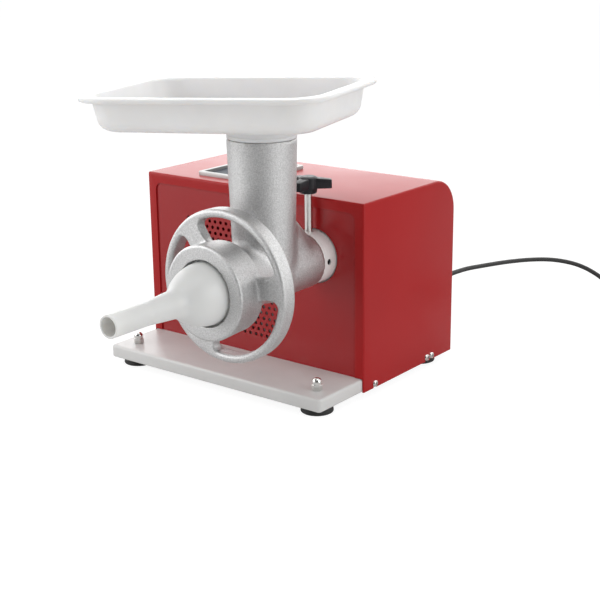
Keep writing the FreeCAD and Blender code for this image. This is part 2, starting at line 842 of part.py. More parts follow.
def switch_rocker():
    """A rocker with a shallow V on top, tilted on a cross pin."""
    half = value("rocker_length/2")
    deep = value("rocker_height*0.55")
    high = value("switch_rise + 1.5")
    dip = value("switch_rise*0.5")
    profile = [Vector(0, -half, -deep * 0.4), Vector(0, 0, -deep), Vector(0, half, -deep * 0.4),
               Vector(0, half, high), Vector(0, 0, dip), Vector(0, -half, high)]
    paddle = Part.Face(Part.makePolygon(profile + profile[:1])).extrude(Vector(value("rocker_width"), 0, 0))
    paddle.translate(Vector(-value("rocker_width") / 2, 0, 0))
    pin_length = value("rocker_width + 2*(move_gap + switch_wall) - 3")
    pin = Part.makeCylinder(value("rocker_pin_radius"), pin_length, Vector(-pin_length / 2, 0, 0),
                            Vector(1, 0, 0))
    return named(shaped("rocker_paddle", paddle.fuse(pin), ("switch_x", "rocker_y", "face_top")),
                 "switch_rocker")


def reset_button():
    cap = cylinder("button_cap", "button_radius", "button_height + face_sheet",
                   ("switch_x", "button_y", "casing_top"))
    rim = value("button_radius")
    top = value("face_top + button_height")
    soft = rounded("button_soft", cap, "button_radius/5", lambda edge: ring_edge(edge, rim, top, 2))
    return named(soft, "reset_button")


def button_socket():
    """The fixed collar that guides the push button."""
    spot = ("switch_x", "button_y", "casing_top - button_height")
    corners = [("0", "0"), ("button_radius + button_collar", "0"),
               ("button_radius + button_collar", "button_height + face_sheet"),
               ("button_radius + 2*button_collar", "button_height + face_sheet"),
               ("button_radius + 2*button_collar", "button_height + face_sheet + button_collar"),
               ("button_radius + run_gap", "button_height + face_sheet + button_collar"),
               ("button_radius + run_gap", "button_height - button_travel - move_gap"),
               ("0", "button_height - button_travel - move_gap")]
    return named(turned("button_guide", corners, spot), "button_socket")


# Output collar and clamp

def output_collar():
    corners = [("collar_bore", "0"), ("collar_flange_radius", "0"),
               ("collar_flange_radius", "collar_flange"),
               ("collar_radius", "collar_flange"), ("collar_radius", "gearbox_set_back + collar_length"),
               ("collar_bore", "gearbox_set_back + collar_length")]
    blank = turned("collar_blank", corners, ("barrel_x", "gearbox_set_back", "barrel_z"), FORWARD)
    tools = [cylinder("stud_hole", "stud_radius + run_gap", "collar_radius",
                      ("barrel_x", "-stud_ahead", "barrel_z + collar_bore/2")),
             cylinder("grub_hole", "grub_radius + thread_gap", "collar_radius",
                      ("barrel_x + collar_bore/2", "-grub_ahead", "barrel_z"), RIGHTWARD)]
    for n, (across, up) in enumerate(collar_screw_spots()):
        tools.append(cylinder(f"collar_screw_hole_{n}", "cover_bolt_radius + thread_gap", "2*collar_flange",
                              (f"barrel_x + {across}", "gearbox_set_back + collar_flange/2",
                               f"barrel_z + {up}"), FORWARD))
    return named(cut("collar_drilled", blank, tools), "output_collar")


def collar_screw_spots():
    return [on_circle("collar_screw_circle", turn) for turn in polar(value("collar_screw_count"), 45)]


def collar_screws():
    screws = []
    for n, (across, up) in enumerate(collar_screw_spots()):
        x, z = f"barrel_x + {across}", f"barrel_z + {up}"
        head = cylinder(f"collar_screw_head_{n}", "cover_bolt_head", "cover_bolt_head_height",
                        (x, "gearbox_set_back - collar_flange", z), FORWARD)
        rod = cylinder(f"collar_screw_rod_{n}", "cover_bolt_radius", "collar_flange + gearbox_wall - 1",
                       (x, "gearbox_set_back - collar_flange", z), REARWARD)
        screws.append(joined(f"collar_screw_{n}", [head, rod]))
    return named(group("collar_screw_set", screws), "collar_screws")


def grub_screw():
    length = "collar_radius - collar_bore - 2*grub_recess"
    rod = cylinder("grub_rod", "grub_radius", length,
                   ("barrel_x + collar_bore + grub_recess/2", "-grub_ahead", "barrel_z"), RIGHTWARD)
    key = doc.addObject("Part::Prism", "grub_key")
    key.Polygon = 6
    bind(key, Circumradius="grub_radius/2", Height=length)
    place(key, ("barrel_x + collar_bore + grub_radius", "-grub_ahead", "barrel_z"), RIGHTWARD)
    return named(cut("grub_body", rod, [key]), "grub_screw")


def clamp_stud():
    low = "barrel_z + spigot_radius + 2*move_gap"
    rod = cylinder("stud_rod", "stud_radius", f"knob_bottom + knob_socket - ({low})",
                   ("barrel_x", "-stud_ahead", low))
    return named(rod, "clamp_stud")


def clamp_knob():
    """A hub with three thick arms, on top of the stud."""
    spot = ("barrel_x", "-stud_ahead")
    hub = cone("knob_hub", "knob_radius*0.85", "knob_radius", "knob_height", (*spot, "knob_bottom"))
    pieces = [hub]
    arm_bottom = "knob_bottom + (knob_height - knob_arm_height)/2"
    reach = "(knob_reach - knob_arm_width/2)"
    for n, degrees in enumerate(polar(value("knob_arms"))):
        turn = Rotation(Vector(0, 0, 1), degrees + value("knob_arm_turn"))
        arm = Part.makeBox(value(reach), value("knob_arm_width"), value("knob_arm_height"),
                           Vector(0, -value("knob_arm_width") / 2, 0))
        end = Part.makeCylinder(value("knob_arm_width/2"), value("knob_arm_height"),
                                Vector(value(reach), 0, 0))
        pieces.append(shaped(f"knob_arm_{n}", arm.fuse(end).removeSplitter(), (*spot, arm_bottom), turn))
    socket = cylinder("knob_socket_hole", "stud_radius + run_gap", "knob_socket + move_gap",
                      (*spot, "knob_bottom"))
    return named(cut("knob_body", joined("knob_blank", pieces), [socket]), "clamp_knob")


# Grinder body and what turns in it

def grinder_body():
    tail = ("barrel_x", "spigot_reach", "barrel_z")
    outline = [("0", "0"), ("spigot_radius", "0"), ("spigot_radius", "spigot_reach + body_shoulder"),
               ("tail_radius", "spigot_reach + body_shoulder"),
               ("tail_radius", "spigot_reach + swell_start"),
               ("barrel_radius", "spigot_reach + swell_end"),
               ("barrel_radius", "spigot_reach + flare_start"),
               ("thread_radius", "spigot_reach + thread_start"),
               ("thread_radius", "spigot_reach + barrel_front"),
               ("0", "spigot_reach + barrel_front")]
    barrel = turned("barrel_blank", outline, tail, FORWARD)
    tube_turn = Rotation(Vector(0, 0, 1), 90)
    column = shaped("feed_tube", column_shape(), ("barrel_x", "-column_ahead", "0"), tube_turn)
    cast = joined("cast_blank", [barrel, column])
    doc.recompute()
    behind = rounded("cast_rear", cast, "rear_blend", crotch(barrel, column, 1))
    doc.recompute()
    soft = rounded("cast_front", behind, "front_blend", crotch(barrel, column, -1))
    gusset = cylinder("tail_gusset", "gusset_radius", "gusset_length",
                      ("barrel_x", "-column_ahead", "barrel_z + gusset_rise"), SLANTED)
    whole = joined("cast_whole", [soft, gusset])
    room = [("0", "0"), ("journal_radius + run_gap", "0"),
            ("journal_radius + run_gap", "spigot_reach + washer_start"),
            ("screw_bore", "spigot_reach + washer_start"),
            ("screw_bore", "spigot_reach + chamber_start - chamber_cone"),
            ("chamber_bore", "spigot_reach + chamber_start"),
            ("chamber_bore", "spigot_reach + barrel_front + 1"),
            ("0", "spigot_reach + barrel_front + 1")]
    bore = turned("barrel_bore", room, tail, FORWARD)
    feed = cylinder("feed_hole", "feed_bore", "column_top - barrel_z + 1",
                    ("barrel_x", "-column_ahead", "barrel_z"))
    neck = cylinder("neck_hole", "neck_bore", "neck_depth + 1",
                    ("barrel_x", "-column_ahead", "column_top - neck_depth"))
    return named(cut("cast_body", whole, [bore, feed, neck]), "grinder_body")


def column_shape():
    """The feed tube: a slight taper that runs smoothly into a round foot."""
    middle = value("barrel_z")
    top = value("column_top")
    foot = value("column_foot_radius")
    mouth = value("column_top_radius")
    lean = math.atan((mouth - foot) / (top - middle))
    ball = foot * math.cos(lean)
    edges = [Part.LineSegment(Vector(0, 0, top), Vector(mouth, 0, top))]
    seam = Vector(ball * math.cos(lean), 0, middle - ball * math.sin(lean))
    edges.append(Part.LineSegment(Vector(mouth, 0, top), seam))
    slope = math.radians(45)
    halfway = Vector(ball * math.cos(slope), 0, middle - ball * math.sin(slope))
    bottom = Vector(0, 0, middle - ball)
    edges.append(Part.Arc(seam, halfway, bottom))
    edges.append(Part.LineSegment(bottom, Vector(0, 0, top)))
    return Part.Face(Part.Wire([edge.toShape() for edge in edges])).revolve(Vector(), Vector(0, 0, 1), 360)


def crotch(barrel, column, side):
    """Picks the seam between feed tube and barrel, behind (1) or in front of (-1) the tube."""
    axis = value("shift_y - column_ahead")

    def picks(edge):
        spot = edge.valueAt((edge.FirstParameter + edge.LastParameter) / 2)
        point = Part.Vertex(spot)
        on_both = all(thing.Shape.Shells[0].distToShape(point)[0] < 0.01 for thing in (barrel, column))
        return on_both and (spot.y - axis) * side > 0
    return picks


def thrust_washer():
    washer = ring("washer_ring", "journal_radius + 2*run_gap", "screw_bore - fit_gap", "washer_thickness",
                  ("barrel_x", "-washer_start", "barrel_z"), FORWARD)
    return named(washer, "thrust_washer")


def feed_screw():
    """Tang, journal and shoulder at the rear, a core with one flight, a square for the knife and a pin."""
    core = [("0", "tang_length"), ("journal_radius", "tang_length"),
            ("journal_radius", "tang_length + spigot_reach + shoulder_start"),
            ("screw_bore - fit_gap", "tang_length + spigot_reach + shoulder_start"),
            ("screw_bore - fit_gap", "tang_length + spigot_reach + core_start"),
            ("screw_core", "tang_length + spigot_reach + core_start"),
            ("screw_core", "tang_length + spigot_reach + knife_start"),
            ("0", "tang_length + spigot_reach + knife_start")]
    tail = ("barrel_x", "spigot_reach + tang_length", "barrel_z")
    shaft = turned("screw_shaft", core, tail, FORWARD)
    tang = box("screw_tang", ("tang_side", "tang_length", "tang_side"),
               ("barrel_x - tang_side/2", "spigot_reach", "barrel_z - tang_side/2"))
    square = box("screw_square", ("knife_side", "knife_thickness", "knife_side"),
                 ("barrel_x - knife_side/2", "-knife_start - knife_thickness", "barrel_z - knife_side/2"))
    pin = cylinder("screw_pin", "pin_radius", "mince_plate",
                   ("barrel_x", "-knife_start - knife_thickness", "barrel_z"),
                   FORWARD)
    flight = shaped("screw_flight", flight_shape(), ("barrel_x", "-core_start", "barrel_z"), FORWARD)
    return named(joined("screw_whole", [shaft, tang, square, pin, flight]), "feed_screw")


def flight_shape():
    """One helical blade round the core, thicker at its root."""
    inner = value("screw_core") - 1
    outer = value("screw_bore - flight_gap")
    root = value("flight_root") / 2
    tip = value("flight_tip") / 2
    reach = value("chamber_start - chamber_cone - core_start - flight_clear") - 2 * root
    spine = Part.makeHelix(value("flight_pitch"), reach, inner)
    corners = [Vector(inner, 0, -root), Vector(outer, 0, -tip), Vector(outer, 0, tip),
               Vector(inner, 0, root)]
    blade = Part.Wire(spine.Edges).makePipeShell([Part.makePolygon(corners + corners[:1])], True, True)
    blade.translate(Vector(0, 0, root))
    return blade


def knife():
    hub = cylinder("knife_hub_disc", "knife_hub", "knife_thickness - move_gap",
                   ("barrel_x", "-knife_start", "barrel_z"), FORWARD)
    blades = []
    for n, size in enumerate((("2*knife_reach", "knife_blade"), ("knife_blade", "2*knife_reach"))):
        blades.append(box(f"knife_bar_{n}", (size[0], "knife_thickness - move_gap", size[1]),
                          (f"barrel_x - ({size[0]})/2", "-knife_start - knife_thickness + move_gap",
                           f"barrel_z - ({size[1]})/2")))
    square = box("knife_square",
                 ("knife_side + 2*thread_gap", "2*knife_thickness", "knife_side + 2*thread_gap"),
                 ("barrel_x - knife_side/2 - thread_gap", "-knife_start - 1.5*knife_thickness",
                  "barrel_z - knife_side/2 - thread_gap"))
    return named(cut("knife_cross", joined("knife_blank", [hub, *blades]), [square]), "knife")


def grinding_plate():
    """A thick disc with rings of holes."""
    middle = Vector(0, 0, 0)
    wires = [circle_wire(value("mince_plate_radius"), middle),
             circle_wire(value("pin_radius + run_gap"), middle)]
    hole = value("mince_hole")
    step = 2.6 * hole
    first = value("pin_radius") + 2 * hole + 1
    rings = int((value("mince_plate_radius") - hole - 1.5 - first) / step) + 1
    for n in range(rings):
        radius = first + n * step
        for degrees in polar(int(2 * math.pi * radius / step)):
            turn = math.radians(degrees)
            wires.append(circle_wire(hole, Vector(radius * math.cos(turn), 0, radius * math.sin(turn))))
    disc = Part.Face(wires, "Part::FaceMakerCheese").extrude(Vector(0, -value("mince_plate"), 0))
    return named(shaped("mince_disc", disc, ("barrel_x", "-plate_start", "barrel_z")), "grinding_plate")


# Ring nut and funnel

def ring_nut():
    """A threaded hub inside a hand rim, held together by three lugs."""
    hub_outline = [("thread_radius + move_gap", "0"), ("hub_radius", "0"),
                   ("hub_radius", "lug_rear + lug_depth - nut_rear"),
                   ("hub_front_radius", "nut_front - nut_rear"), ("nut_opening", "nut_front - nut_rear"),
                   ("nut_opening", "nut_seat - nut_rear"),
                   ("thread_radius + move_gap", "nut_seat - nut_rear")]
    hub = turned("nut_hub", hub_outline, ("barrel_x", "-nut_rear", "barrel_z"), FORWARD)
    doc.recompute()
    front = value("shift_y - nut_front")
    edge_radius = value("hub_front_radius")
    hub_soft = rounded("nut_hub_soft", hub, "hub_round",
                       lambda edge: ring_edge(edge, edge_radius, front, 1))
    rim = ring("nut_rim", "rim_inner", "rim_radius", "rim_thickness", ("barrel_x", "-rim_rear", "barrel_z"),
               FORWARD)
    rim_soft = rounded("nut_rim_soft", rim, "rim_round", lambda edge: isinstance(edge.Curve, Part.Circle))
    lugs = []
    for n, degrees in enumerate(polar(value("lug_count"), value("lug_turn"))):
        inner = value("thread_radius + move_gap + hub_radius") / 2
        outer = value("rim_inner + rim_radius") / 2
        lug = Part.makeBox(outer - inner, value("lug_depth"), value("lug_width"),
                           Vector(inner, -value("lug_depth"), -value("lug_width") / 2))
        lug.rotate(Vector(), Vector(0, 1, 0), -degrees)
        lugs.append(shaped(f"nut_lug_{n}", lug, ("barrel_x", "-lug_rear", "barrel_z")))
    blank = joined("nut_blank", [hub_soft, rim_soft, *lugs])
    doc.recompute()
    low = value("hub_radius")
    high = value("rim_inner")
    axis = Vector(value("barrel_x + shift_x"), 0, value("barrel_z"))

    def lug_corner(edge):
        if not runs_along(edge, 1):
            return False
        away = edge.Vertexes[0].Point - axis
        reach = math.hypot(away.x, away.z)
        return abs(reach - low) < 0.01 or abs(reach - high) < 0.01

    return named(rounded("nut_cast", blank, "lug_blend", lug_corner), "ring_nut")


def stuffing_funnel():
    """A flange held by the nut, a round shoulder and a tapered tube."""
    base = value("funnel_base_radius")
    start = value("funnel_start")
    flange_end = start + value("funnel_flange")
    nose = value("funnel_shoulder")
    neck = value("funnel_shoulder_radius")
    tip = value("funnel_tip_radius")
    reach = value("funnel_reach")
    straight = reach - value("funnel_straight")
    outer = funnel_line(value("funnel_flange_radius"), base, start, flange_end, nose, neck, tip, straight,
                        reach)
    wall = value("funnel_wall")
    inner = funnel_line(base - wall, base - wall, start - wall, start, nose - wall, neck - wall, tip - wall,
                        straight, reach + wall)
    solid = outer.revolve(Vector(), Vector(0, 0, 1), 360).cut(inner.revolve(Vector(), Vector(0, 0, 1), 360))
    return named(shaped("funnel_body", solid, ("barrel_x", "0", "barrel_z"), FORWARD), "stuffing_funnel")


def funnel_line(brim, base, start, flange_end, nose, neck, tip, straight, reach):
    """Half section of a flange, an arched shoulder and a tapering tube, as a face."""
    bulge = 0.78
    shoulder_mid = Vector(neck + (base - neck) * bulge, 0, flange_end + (nose - flange_end) * 0.5)
    edges = [Part.LineSegment(Vector(0, 0, start), Vector(brim, 0, start))]
    if brim > base:
        edges.append(Part.LineSegment(Vector(brim, 0, start), Vector(brim, 0, flange_end)))
        edges.append(Part.LineSegment(Vector(brim, 0, flange_end), Vector(base, 0, flange_end)))
    else:
        edges.append(Part.LineSegment(Vector(base, 0, start), Vector(base, 0, flange_end)))
    edges.append(Part.Arc(Vector(base, 0, flange_end), shoulder_mid, Vector(neck, 0, nose)))
    edges.append(Part.LineSegment(Vector(neck, 0, nose), Vector(tip, 0, straight)))
    edges.append(Part.LineSegment(Vector(tip, 0, straight), Vector(tip, 0, reach)))
    edges.append(Part.LineSegment(Vector(tip, 0, reach), Vector(0, 0, reach)))
    edges.append(Part.LineSegment(Vector(0, 0, reach), Vector(0, 0, start)))
    return Part.Face(Part.Wire([edge.toShape() for edge in edges]))


# Feed tray

TRAY_SEAT = ("barrel_x", "-column_ahead", "tray_bottom")


def rounded_rectangle(length, width, corner, up, middle):
    """A wire of four lines and four quarter arcs, at one height."""
    a, b = length / 2 - corner, width / 2 - corner
    edges = []
    for n, (x, y) in enumerate(((a, b), (-a, b), (-a, -b), (a, -b))):
        turns = [math.radians(90 * n + part) for part in (0, 45, 90)]
        arc = [Vector(middle + x + corner * math.cos(t), y + corner * math.sin(t), up) for t in turns]
        if edges:
            edges.append(Part.LineSegment(edges[-1].EndPoint, arc[0]))
        edges.append(Part.Arc(*arc))
    edges.append(Part.LineSegment(edges[-1].EndPoint, edges[0].StartPoint))
    return Part.Wire([edge.toShape() for edge in edges])


def tray_tub(length, width, corner, bottom, top, lean, floor_round):
    """A tub with leaning walls and a rounded floor edge."""
    middle = -value("tray_offset")
    low = rounded_rectangle(length - 2 * lean, width - 2 * lean, corner, bottom, middle)
    high = rounded_rectangle(length, width, corner, top, middle)
    tub = Part.makeLoft([low, high], True, True)
    floor_edges = [edge for edge in tub.Edges if edge.BoundBox.ZMax < bottom + LINE_UP]
    return tub.makeFillet(floor_round, floor_edges)


def feed_tray():
    """A shallow tray with a flat brim and a hole above the feed tube, set on its own collar."""
    bottom = 0
    top = value("tray_depth")
    wall = value("tray_wall")
    lean = value("tray_wall_lean")
    brim = value("tray_rim")
    length = value("tray_length") - 2 * brim
    width = value("tray_width") - 2 * brim
    corner = value("tray_rim_corner")
    floor_round = value("tray_floor_round")
    tub = tray_tub(length, width, corner, bottom, top, lean, floor_round)
    inside = tray_tub(length - 2 * wall, width - 2 * wall, corner - wall, bottom + wall, top + wall, lean,
                      floor_round - wall)
    rim_wire = rounded_rectangle(value("tray_length"), value("tray_width"), corner,
                                 top - value("tray_rim_thickness"), -value("tray_offset"))
    rim = Part.Face(rim_wire).extrude(Vector(0, 0, value("tray_rim_thickness")))
    hole = Part.makeCylinder(value("throat_radius + move_gap"), 3 * wall, Vector(0, 0, bottom - wall))
    pan = tub.fuse(rim).cut([inside, hole]).removeSplitter()
    return named(shaped("tray_pan", pan, TRAY_SEAT, tray_rotation()), "feed_tray")


def tray_rotation():
    """The tray is turned on the tube and leans a little, with its right-hand end higher."""
    return Rotation(Vector(0, 0, 1), value("tray_turn")) * Rotation(Vector(0, 1, 0), -value("tray_tilt"))


def tray_collar():
    """The tray's foot: a skirt on the feed tube's rim and a neck that goes into it."""
    neck_low = "column_top - neck_depth + neck_clear"
    corners = [("throat_radius", "0"), ("neck_bore - move_gap", "0"),
               ("neck_bore - move_gap", "neck_depth - neck_clear + move_gap"),
               ("column_top_radius", "neck_depth - neck_clear + move_gap"),
               ("column_top_radius", "neck_depth - neck_clear + tray_rise + tray_wall"),
               ("throat_radius", "neck_depth - neck_clear + tray_rise + tray_wall")]
    blank = turned("tray_foot_blank", corners, ("barrel_x", "-column_ahead", neck_low))
    above = cylinder("tray_foot_trim", "2*column_top_radius", "tray_depth", TRAY_SEAT, tray_rotation())
    return named(cut("tray_foot", blank, [above]), "tray_collar")


# Gearbox

def gear(name, teeth, module, bore, width, phase, at):
    """A spur gear whose flanks are single arcs through three involute points, turned to mesh."""
    count = int(value(teeth))
    size = value(module)
    pitch = count * size / 2
    base = pitch * math.cos(math.radians(20))
    tip = pitch + 0.9 * size
    root = pitch - 1.2 * size
    foot = max(base, root + 0.05 * size)
    slack = value("gear_backlash") / (2 * pitch)

    def half_angle(radius):
        lean = math.acos(min(1.0, base / radius))
        flat = math.acos(base / pitch)
        return math.pi / (2 * count) - slack + (math.tan(flat) - flat) - (math.tan(lean) - lean)

    def spot(radius, turn):
        return Vector(radius * math.cos(turn), radius * math.sin(turn), 0)

    edges = []
    middle = (foot + tip) / 2
    step = 2 * math.pi / count
    for n in range(count):
        centre = n * step
        rise = [spot(r, centre - half_angle(r)) for r in (foot, middle, tip)]
        fall = [spot(r, centre + half_angle(r)) for r in (tip, middle, foot)]
        low = spot(root, centre - half_angle(foot))
        high = spot(root, centre + half_angle(foot))
        following = spot(root, centre + step - half_angle(foot))
        edges.append(Part.LineSegment(low, rise[0]))
        edges.append(Part.Arc(*rise))
        edges.append(Part.Arc(rise[2], spot(tip, centre), fall[0]))
        edges.append(Part.Arc(*fall))
        edges.append(Part.LineSegment(fall[2], high))
        edges.append(Part.Arc(high, spot(root, centre + step / 2), following))
    outline = Part.Wire([edge.toShape() for edge in edges])
    hole = Part.Wire(Part.makeCircle(value(bore)))
    blank = Part.Face([outline, hole], "Part::FaceMakerCheese").extrude(Vector(0, 0, value(width)))
    blank.rotate(Vector(), Vector(0, 0, 1), -phase)
    return shaped(name, blank, at, REARWARD)


def gearbox_lobes(name, extra, start, length):
    """Three overlapping cylinders that follow the gear train."""
    lobes = []
    for axis, radius in (("barrel", "output_tip + gear_clear"), ("middle", "middle_tip + gear_clear"),
                         ("motor", "motor_pocket")):
        lobes.append(cylinder(f"{name}_{axis}", f"{radius} + {extra}", length,
                              (f"{axis}_x", start, f"{axis}_z"), REARWARD))
    return lobes


def cover_bolt_spots():
    """Bolt places round the gearbox, each as the axis it belongs to and two offsets."""
    spots = []
    for axis, radius, turn in (("barrel", "output_tip", 45), ("barrel", "output_tip", -40),
                               ("middle", "middle_tip", 100), ("middle", "middle_tip", -40)):
        across, up = on_circle(f"({radius} + gear_clear + gearbox_shell)", turn)
        spots.append((f"{axis}_x + {across}", f"{axis}_z + {up}"))
    return spots


def gearbox_housing():
    depth = "box_rear - gearbox_set_back"
    outer = gearbox_lobes("housing", "gearbox_shell", "gearbox_set_back", depth)
    for n, (x, z) in enumerate(cover_bolt_spots()):
        outer.append(cylinder(f"housing_ear_{n}", "cover_bolt_boss", depth, (x, "gearbox_set_back", z),
                              REARWARD))
    outer.append(box("pedestal", ("pedestal_width", depth, "middle_z - plate_top"),
                     ("middle_x - pedestal_width/2", "gearbox_set_back", "plate_top")))
    outer.append(box("pedestal_ears", ("pedestal_width + 2*pedestal_ear", depth, "pedestal_ear_height"),
                     ("middle_x - pedestal_width/2 - pedestal_ear", "gearbox_set_back", "plate_top")))
    cavity = gearbox_lobes("cavity", "0", "gearbox_set_back + gearbox_wall", depth)
    shell = cut("housing_shell", joined("housing_blank", outer), cavity)
    boss_length = "output_bearing_width - gearbox_wall + 1"
    bosses = [cylinder("output_boss", "output_bearing_radius + boss_wall", f"{boss_length}",
                       ("barrel_x", "gearbox_set_back + gearbox_wall", "barrel_z"), REARWARD),
              cylinder("middle_boss", "bush_radius + boss_wall", f"{boss_length}",
                       ("middle_x", "gearbox_set_back + gearbox_wall", "middle_z"), REARWARD)]
    bores = [cylinder("output_seat", "output_bearing_radius + thread_gap", "output_bearing_width + 2",
                      ("barrel_x", "gearbox_set_back + 1", "barrel_z"), REARWARD),
             cylinder("output_way", "output_shaft_radius + 2", "gearbox_wall",
                      ("barrel_x", "gearbox_set_back - 1", "barrel_z"), REARWARD),
             cylinder("middle_seat", "bush_radius + thread_gap", "output_bearing_width + 2",
                      ("middle_x", "gearbox_set_back + bush_inset", "middle_z"), REARWARD)]
    for n, (x, z) in enumerate(cover_bolt_spots()):
        bores.append(cylinder(f"housing_bolt_hole_{n}", "cover_bolt_radius + thread_gap",
                              "box_rear - gearbox_set_back - gearbox_wall",
                              (x, "gearbox_set_back + gearbox_wall", z), REARWARD))
    for n, (across, up) in enumerate(collar_screw_spots()):
        bores.append(cylinder(f"housing_collar_hole_{n}", "cover_bolt_radius + thread_gap", "gearbox_wall",
                              (f"barrel_x + {across}", "gearbox_set_back - 1", f"barrel_z + {up}"),
                              REARWARD))
    for n, side in enumerate(("-", "+")):
        bores.append(cylinder(f"pedestal_ear_hole_{n}", "bolt_radius + bolt_hole_gap",
                              "pedestal_ear_height + 2",
                              (pedestal_bolt_x(side), "gearbox_set_back + pedestal_ear", "plate_top - 1")))
    return named(cut("housing_cast", joined("housing_bossed", [shell, *bosses]), bores), "gearbox_housing")


def gearbox_cover():
    outer = gearbox_lobes("cover_plate", "gearbox_shell", "box_rear", "gearbox_cover")
    for n, (x, z) in enumerate(cover_bolt_spots()):
        outer.append(cylinder(f"cover_ear_{n}", "cover_bolt_boss", "gearbox_cover", (x, "box_rear", z),
                              REARWARD))
    bores = [cylinder("tail_seat", "output_tail_bearing_radius + thread_gap", "gearbox_cover - 1",
                      ("barrel_x", "box_rear - 1", "barrel_z"), REARWARD),
             cylinder("middle_tail_seat", "bush_radius + thread_gap", "gearbox_cover - bush_inset + 1",
                      ("middle_x", "box_rear - 1", "middle_z"), REARWARD),
             cylinder("motor_way", "motor_shaft_radius + 3", "gearbox_cover + 2",
                      ("motor_x", "box_rear - 1", "motor_z"), REARWARD)]
    for n, (x, z) in enumerate(cover_bolt_spots()):
        bores.append(cylinder(f"cover_bolt_hole_{n}", "cover_bolt_radius + thread_gap", "gearbox_cover + 2",
                              (x, "box_rear - 1", z), REARWARD))
    for n, (across, up) in enumerate(motor_bolt_spots()):
        bores.append(cylinder(f"cover_motor_hole_{n}", "motor_bolt_radius + thread_gap", "gearbox_cover",
                              (f"motor_x + {across}", "box_rear + 2", f"motor_z + {up}"), REARWARD))
    return named(cut("cover_cast", joined("cover_blank", outer), bores), "gearbox_cover")


def cover_bolts():
    bolts = []
    for n, (x, z) in enumerate(cover_bolt_spots()):
        head = cylinder(f"cover_bolt_head_{n}", "cover_bolt_head", "cover_bolt_head_height",
                        (x, "cover_rear", z), REARWARD)
        rod = cylinder(f"cover_bolt_rod_{n}", "cover_bolt_radius", "gearbox_cover + 2*gearbox_wall",
                       (x, "cover_rear", z), FORWARD)
        bolts.append(joined(f"cover_bolt_{n}", [head, rod]))
    return named(group("cover_bolt_set", bolts), "cover_bolts")


def pedestal_bolts():
    bolts = []
    for n, side in enumerate(("-", "+")):
        spot = (pedestal_bolt_x(side), "gearbox_set_back + pedestal_ear")
        rod = cylinder(f"pedestal_rod_{n}", "bolt_radius", "pedestal_ear_height + pedestal_bolt_depth",
                       (*spot, "plate_top - pedestal_bolt_depth"))
        head = doc.addObject("Part::Prism", f"pedestal_head_{n}")
        head.Polygon = 6
        bind(head, Circumradius="bolt_head_radius", Height="bolt_head_height")
        place(head, (*spot, "plate_top + pedestal_ear_height"))
        bolts.append(joined(f"pedestal_bolt_{n}", [rod, head]))
    return named(group("pedestal_bolt_set", bolts), "pedestal_bolts")


def output_shaft():
    corners = [("0", "0"), ("output_shaft_radius", "0"),
               ("output_shaft_radius", "gear_one_y - gear_step/2 - socket_start"),
               ("output_tail_radius", "gear_one_y - gear_step/2 - socket_start"),
               ("output_tail_radius", "cover_rear - socket_start - 2"),
               ("0", "cover_rear - socket_start - 2")]
    shaft = turned("output_blank", corners, ("barrel_x", "socket_start", "barrel_z"), REARWARD)
    side = "(tang_side + 2*move_gap)"
    socket = box("output_socket", (side, "socket_depth + 1", side),
                 (f"barrel_x - {side}/2", "socket_start - 1", f"barrel_z - {side}/2"))
    return named(cut("output_drilled", shaft, [socket]), "output_shaft")


def output_gear():
    turn = value("stage_two_turn")
    wheel = gear("output_wheel", "output_teeth", "module_two", "output_shaft_radius + thread_gap/2",
                 "gear_width_two", turn,
                 ("barrel_x", "gear_two_y", "barrel_z"))
    return named(wheel, "output_gear")


def middle_pinion():
    turn = value("stage_two_turn") + 180 + 180 / value("pinion_teeth")
    wheel = gear("middle_small", "pinion_teeth", "module_two", "middle_shaft_radius + thread_gap/2",
                 "gear_width_two + 1",
                 turn, ("middle_x", "gear_two_y - 0.5", "middle_z"))
    return named(wheel, "intermediate_pinion")


def middle_gear():
    turn = value("stage_one_turn")
    wheel = gear("middle_large", "middle_teeth", "module_one", "middle_shaft_radius + thread_gap/2",
                 "gear_width_one", turn,
                 ("middle_x", "gear_one_y", "middle_z"))
    return named(wheel, "intermediate_gear")


def motor_pinion():
    turn = value("stage_one_turn") + 180 + 180 / value("motor_teeth")
    wheel = gear("motor_small", "motor_teeth", "module_one", "motor_shaft_radius + thread_gap/2",
                 "gear_width_one + 1", turn,
                 ("motor_x", "gear_one_y - 0.5", "motor_z"))
    return named(wheel, "motor_pinion")


def middle_shaft():
    rod = cylinder("middle_rod", "middle_shaft_radius",
                   "cover_rear - gearbox_set_back - 2*bush_inset - 2*move_gap",
                   ("middle_x", "gearbox_set_back + bush_inset + move_gap", "middle_z"), REARWARD)
    return named(rod, "intermediate_shaft")


def output_bearings():
    front = ring("front_race", "output_shaft_radius + run_gap", "output_bearing_radius",
                 "output_bearing_width",
                 ("barrel_x", "gearbox_set_back + 1", "barrel_z"), REARWARD)
    rear = ring("rear_race", "output_tail_radius + run_gap", "output_tail_bearing_radius",
                "gearbox_cover - 2",
                ("barrel_x", "box_rear", "barrel_z"), REARWARD)
    return named(group("output_race_set", [front, rear]), "output_bearings")


def middle_bushes():
    front = ring("front_bush", "middle_shaft_radius + run_gap", "bush_radius",
                 "output_bearing_width - bush_inset + 1",
                 ("middle_x", "gearbox_set_back + bush_inset", "middle_z"), REARWARD)
    rear = ring("rear_bush", "middle_shaft_radius + run_gap", "bush_radius", "gearbox_cover - bush_inset",
                ("middle_x", "box_rear", "middle_z"), REARWARD)
    return named(group("bush_set", [front, rear]), "intermediate_bushes")


def oil_seal():
    seal = ring("seal_ring", "output_shaft_radius + run_gap", "collar_bore - thread_gap", "seal_width",
                ("barrel_x", "gearbox_set_back - seal_width", "barrel_z"), REARWARD)
    return named(seal, "oil_seal")


# Motor and electrical pieces

def motor_bolt_spots():
    return [on_circle("motor_bolt_circle", turn) for turn in polar(value("motor_bolts"), 45)]


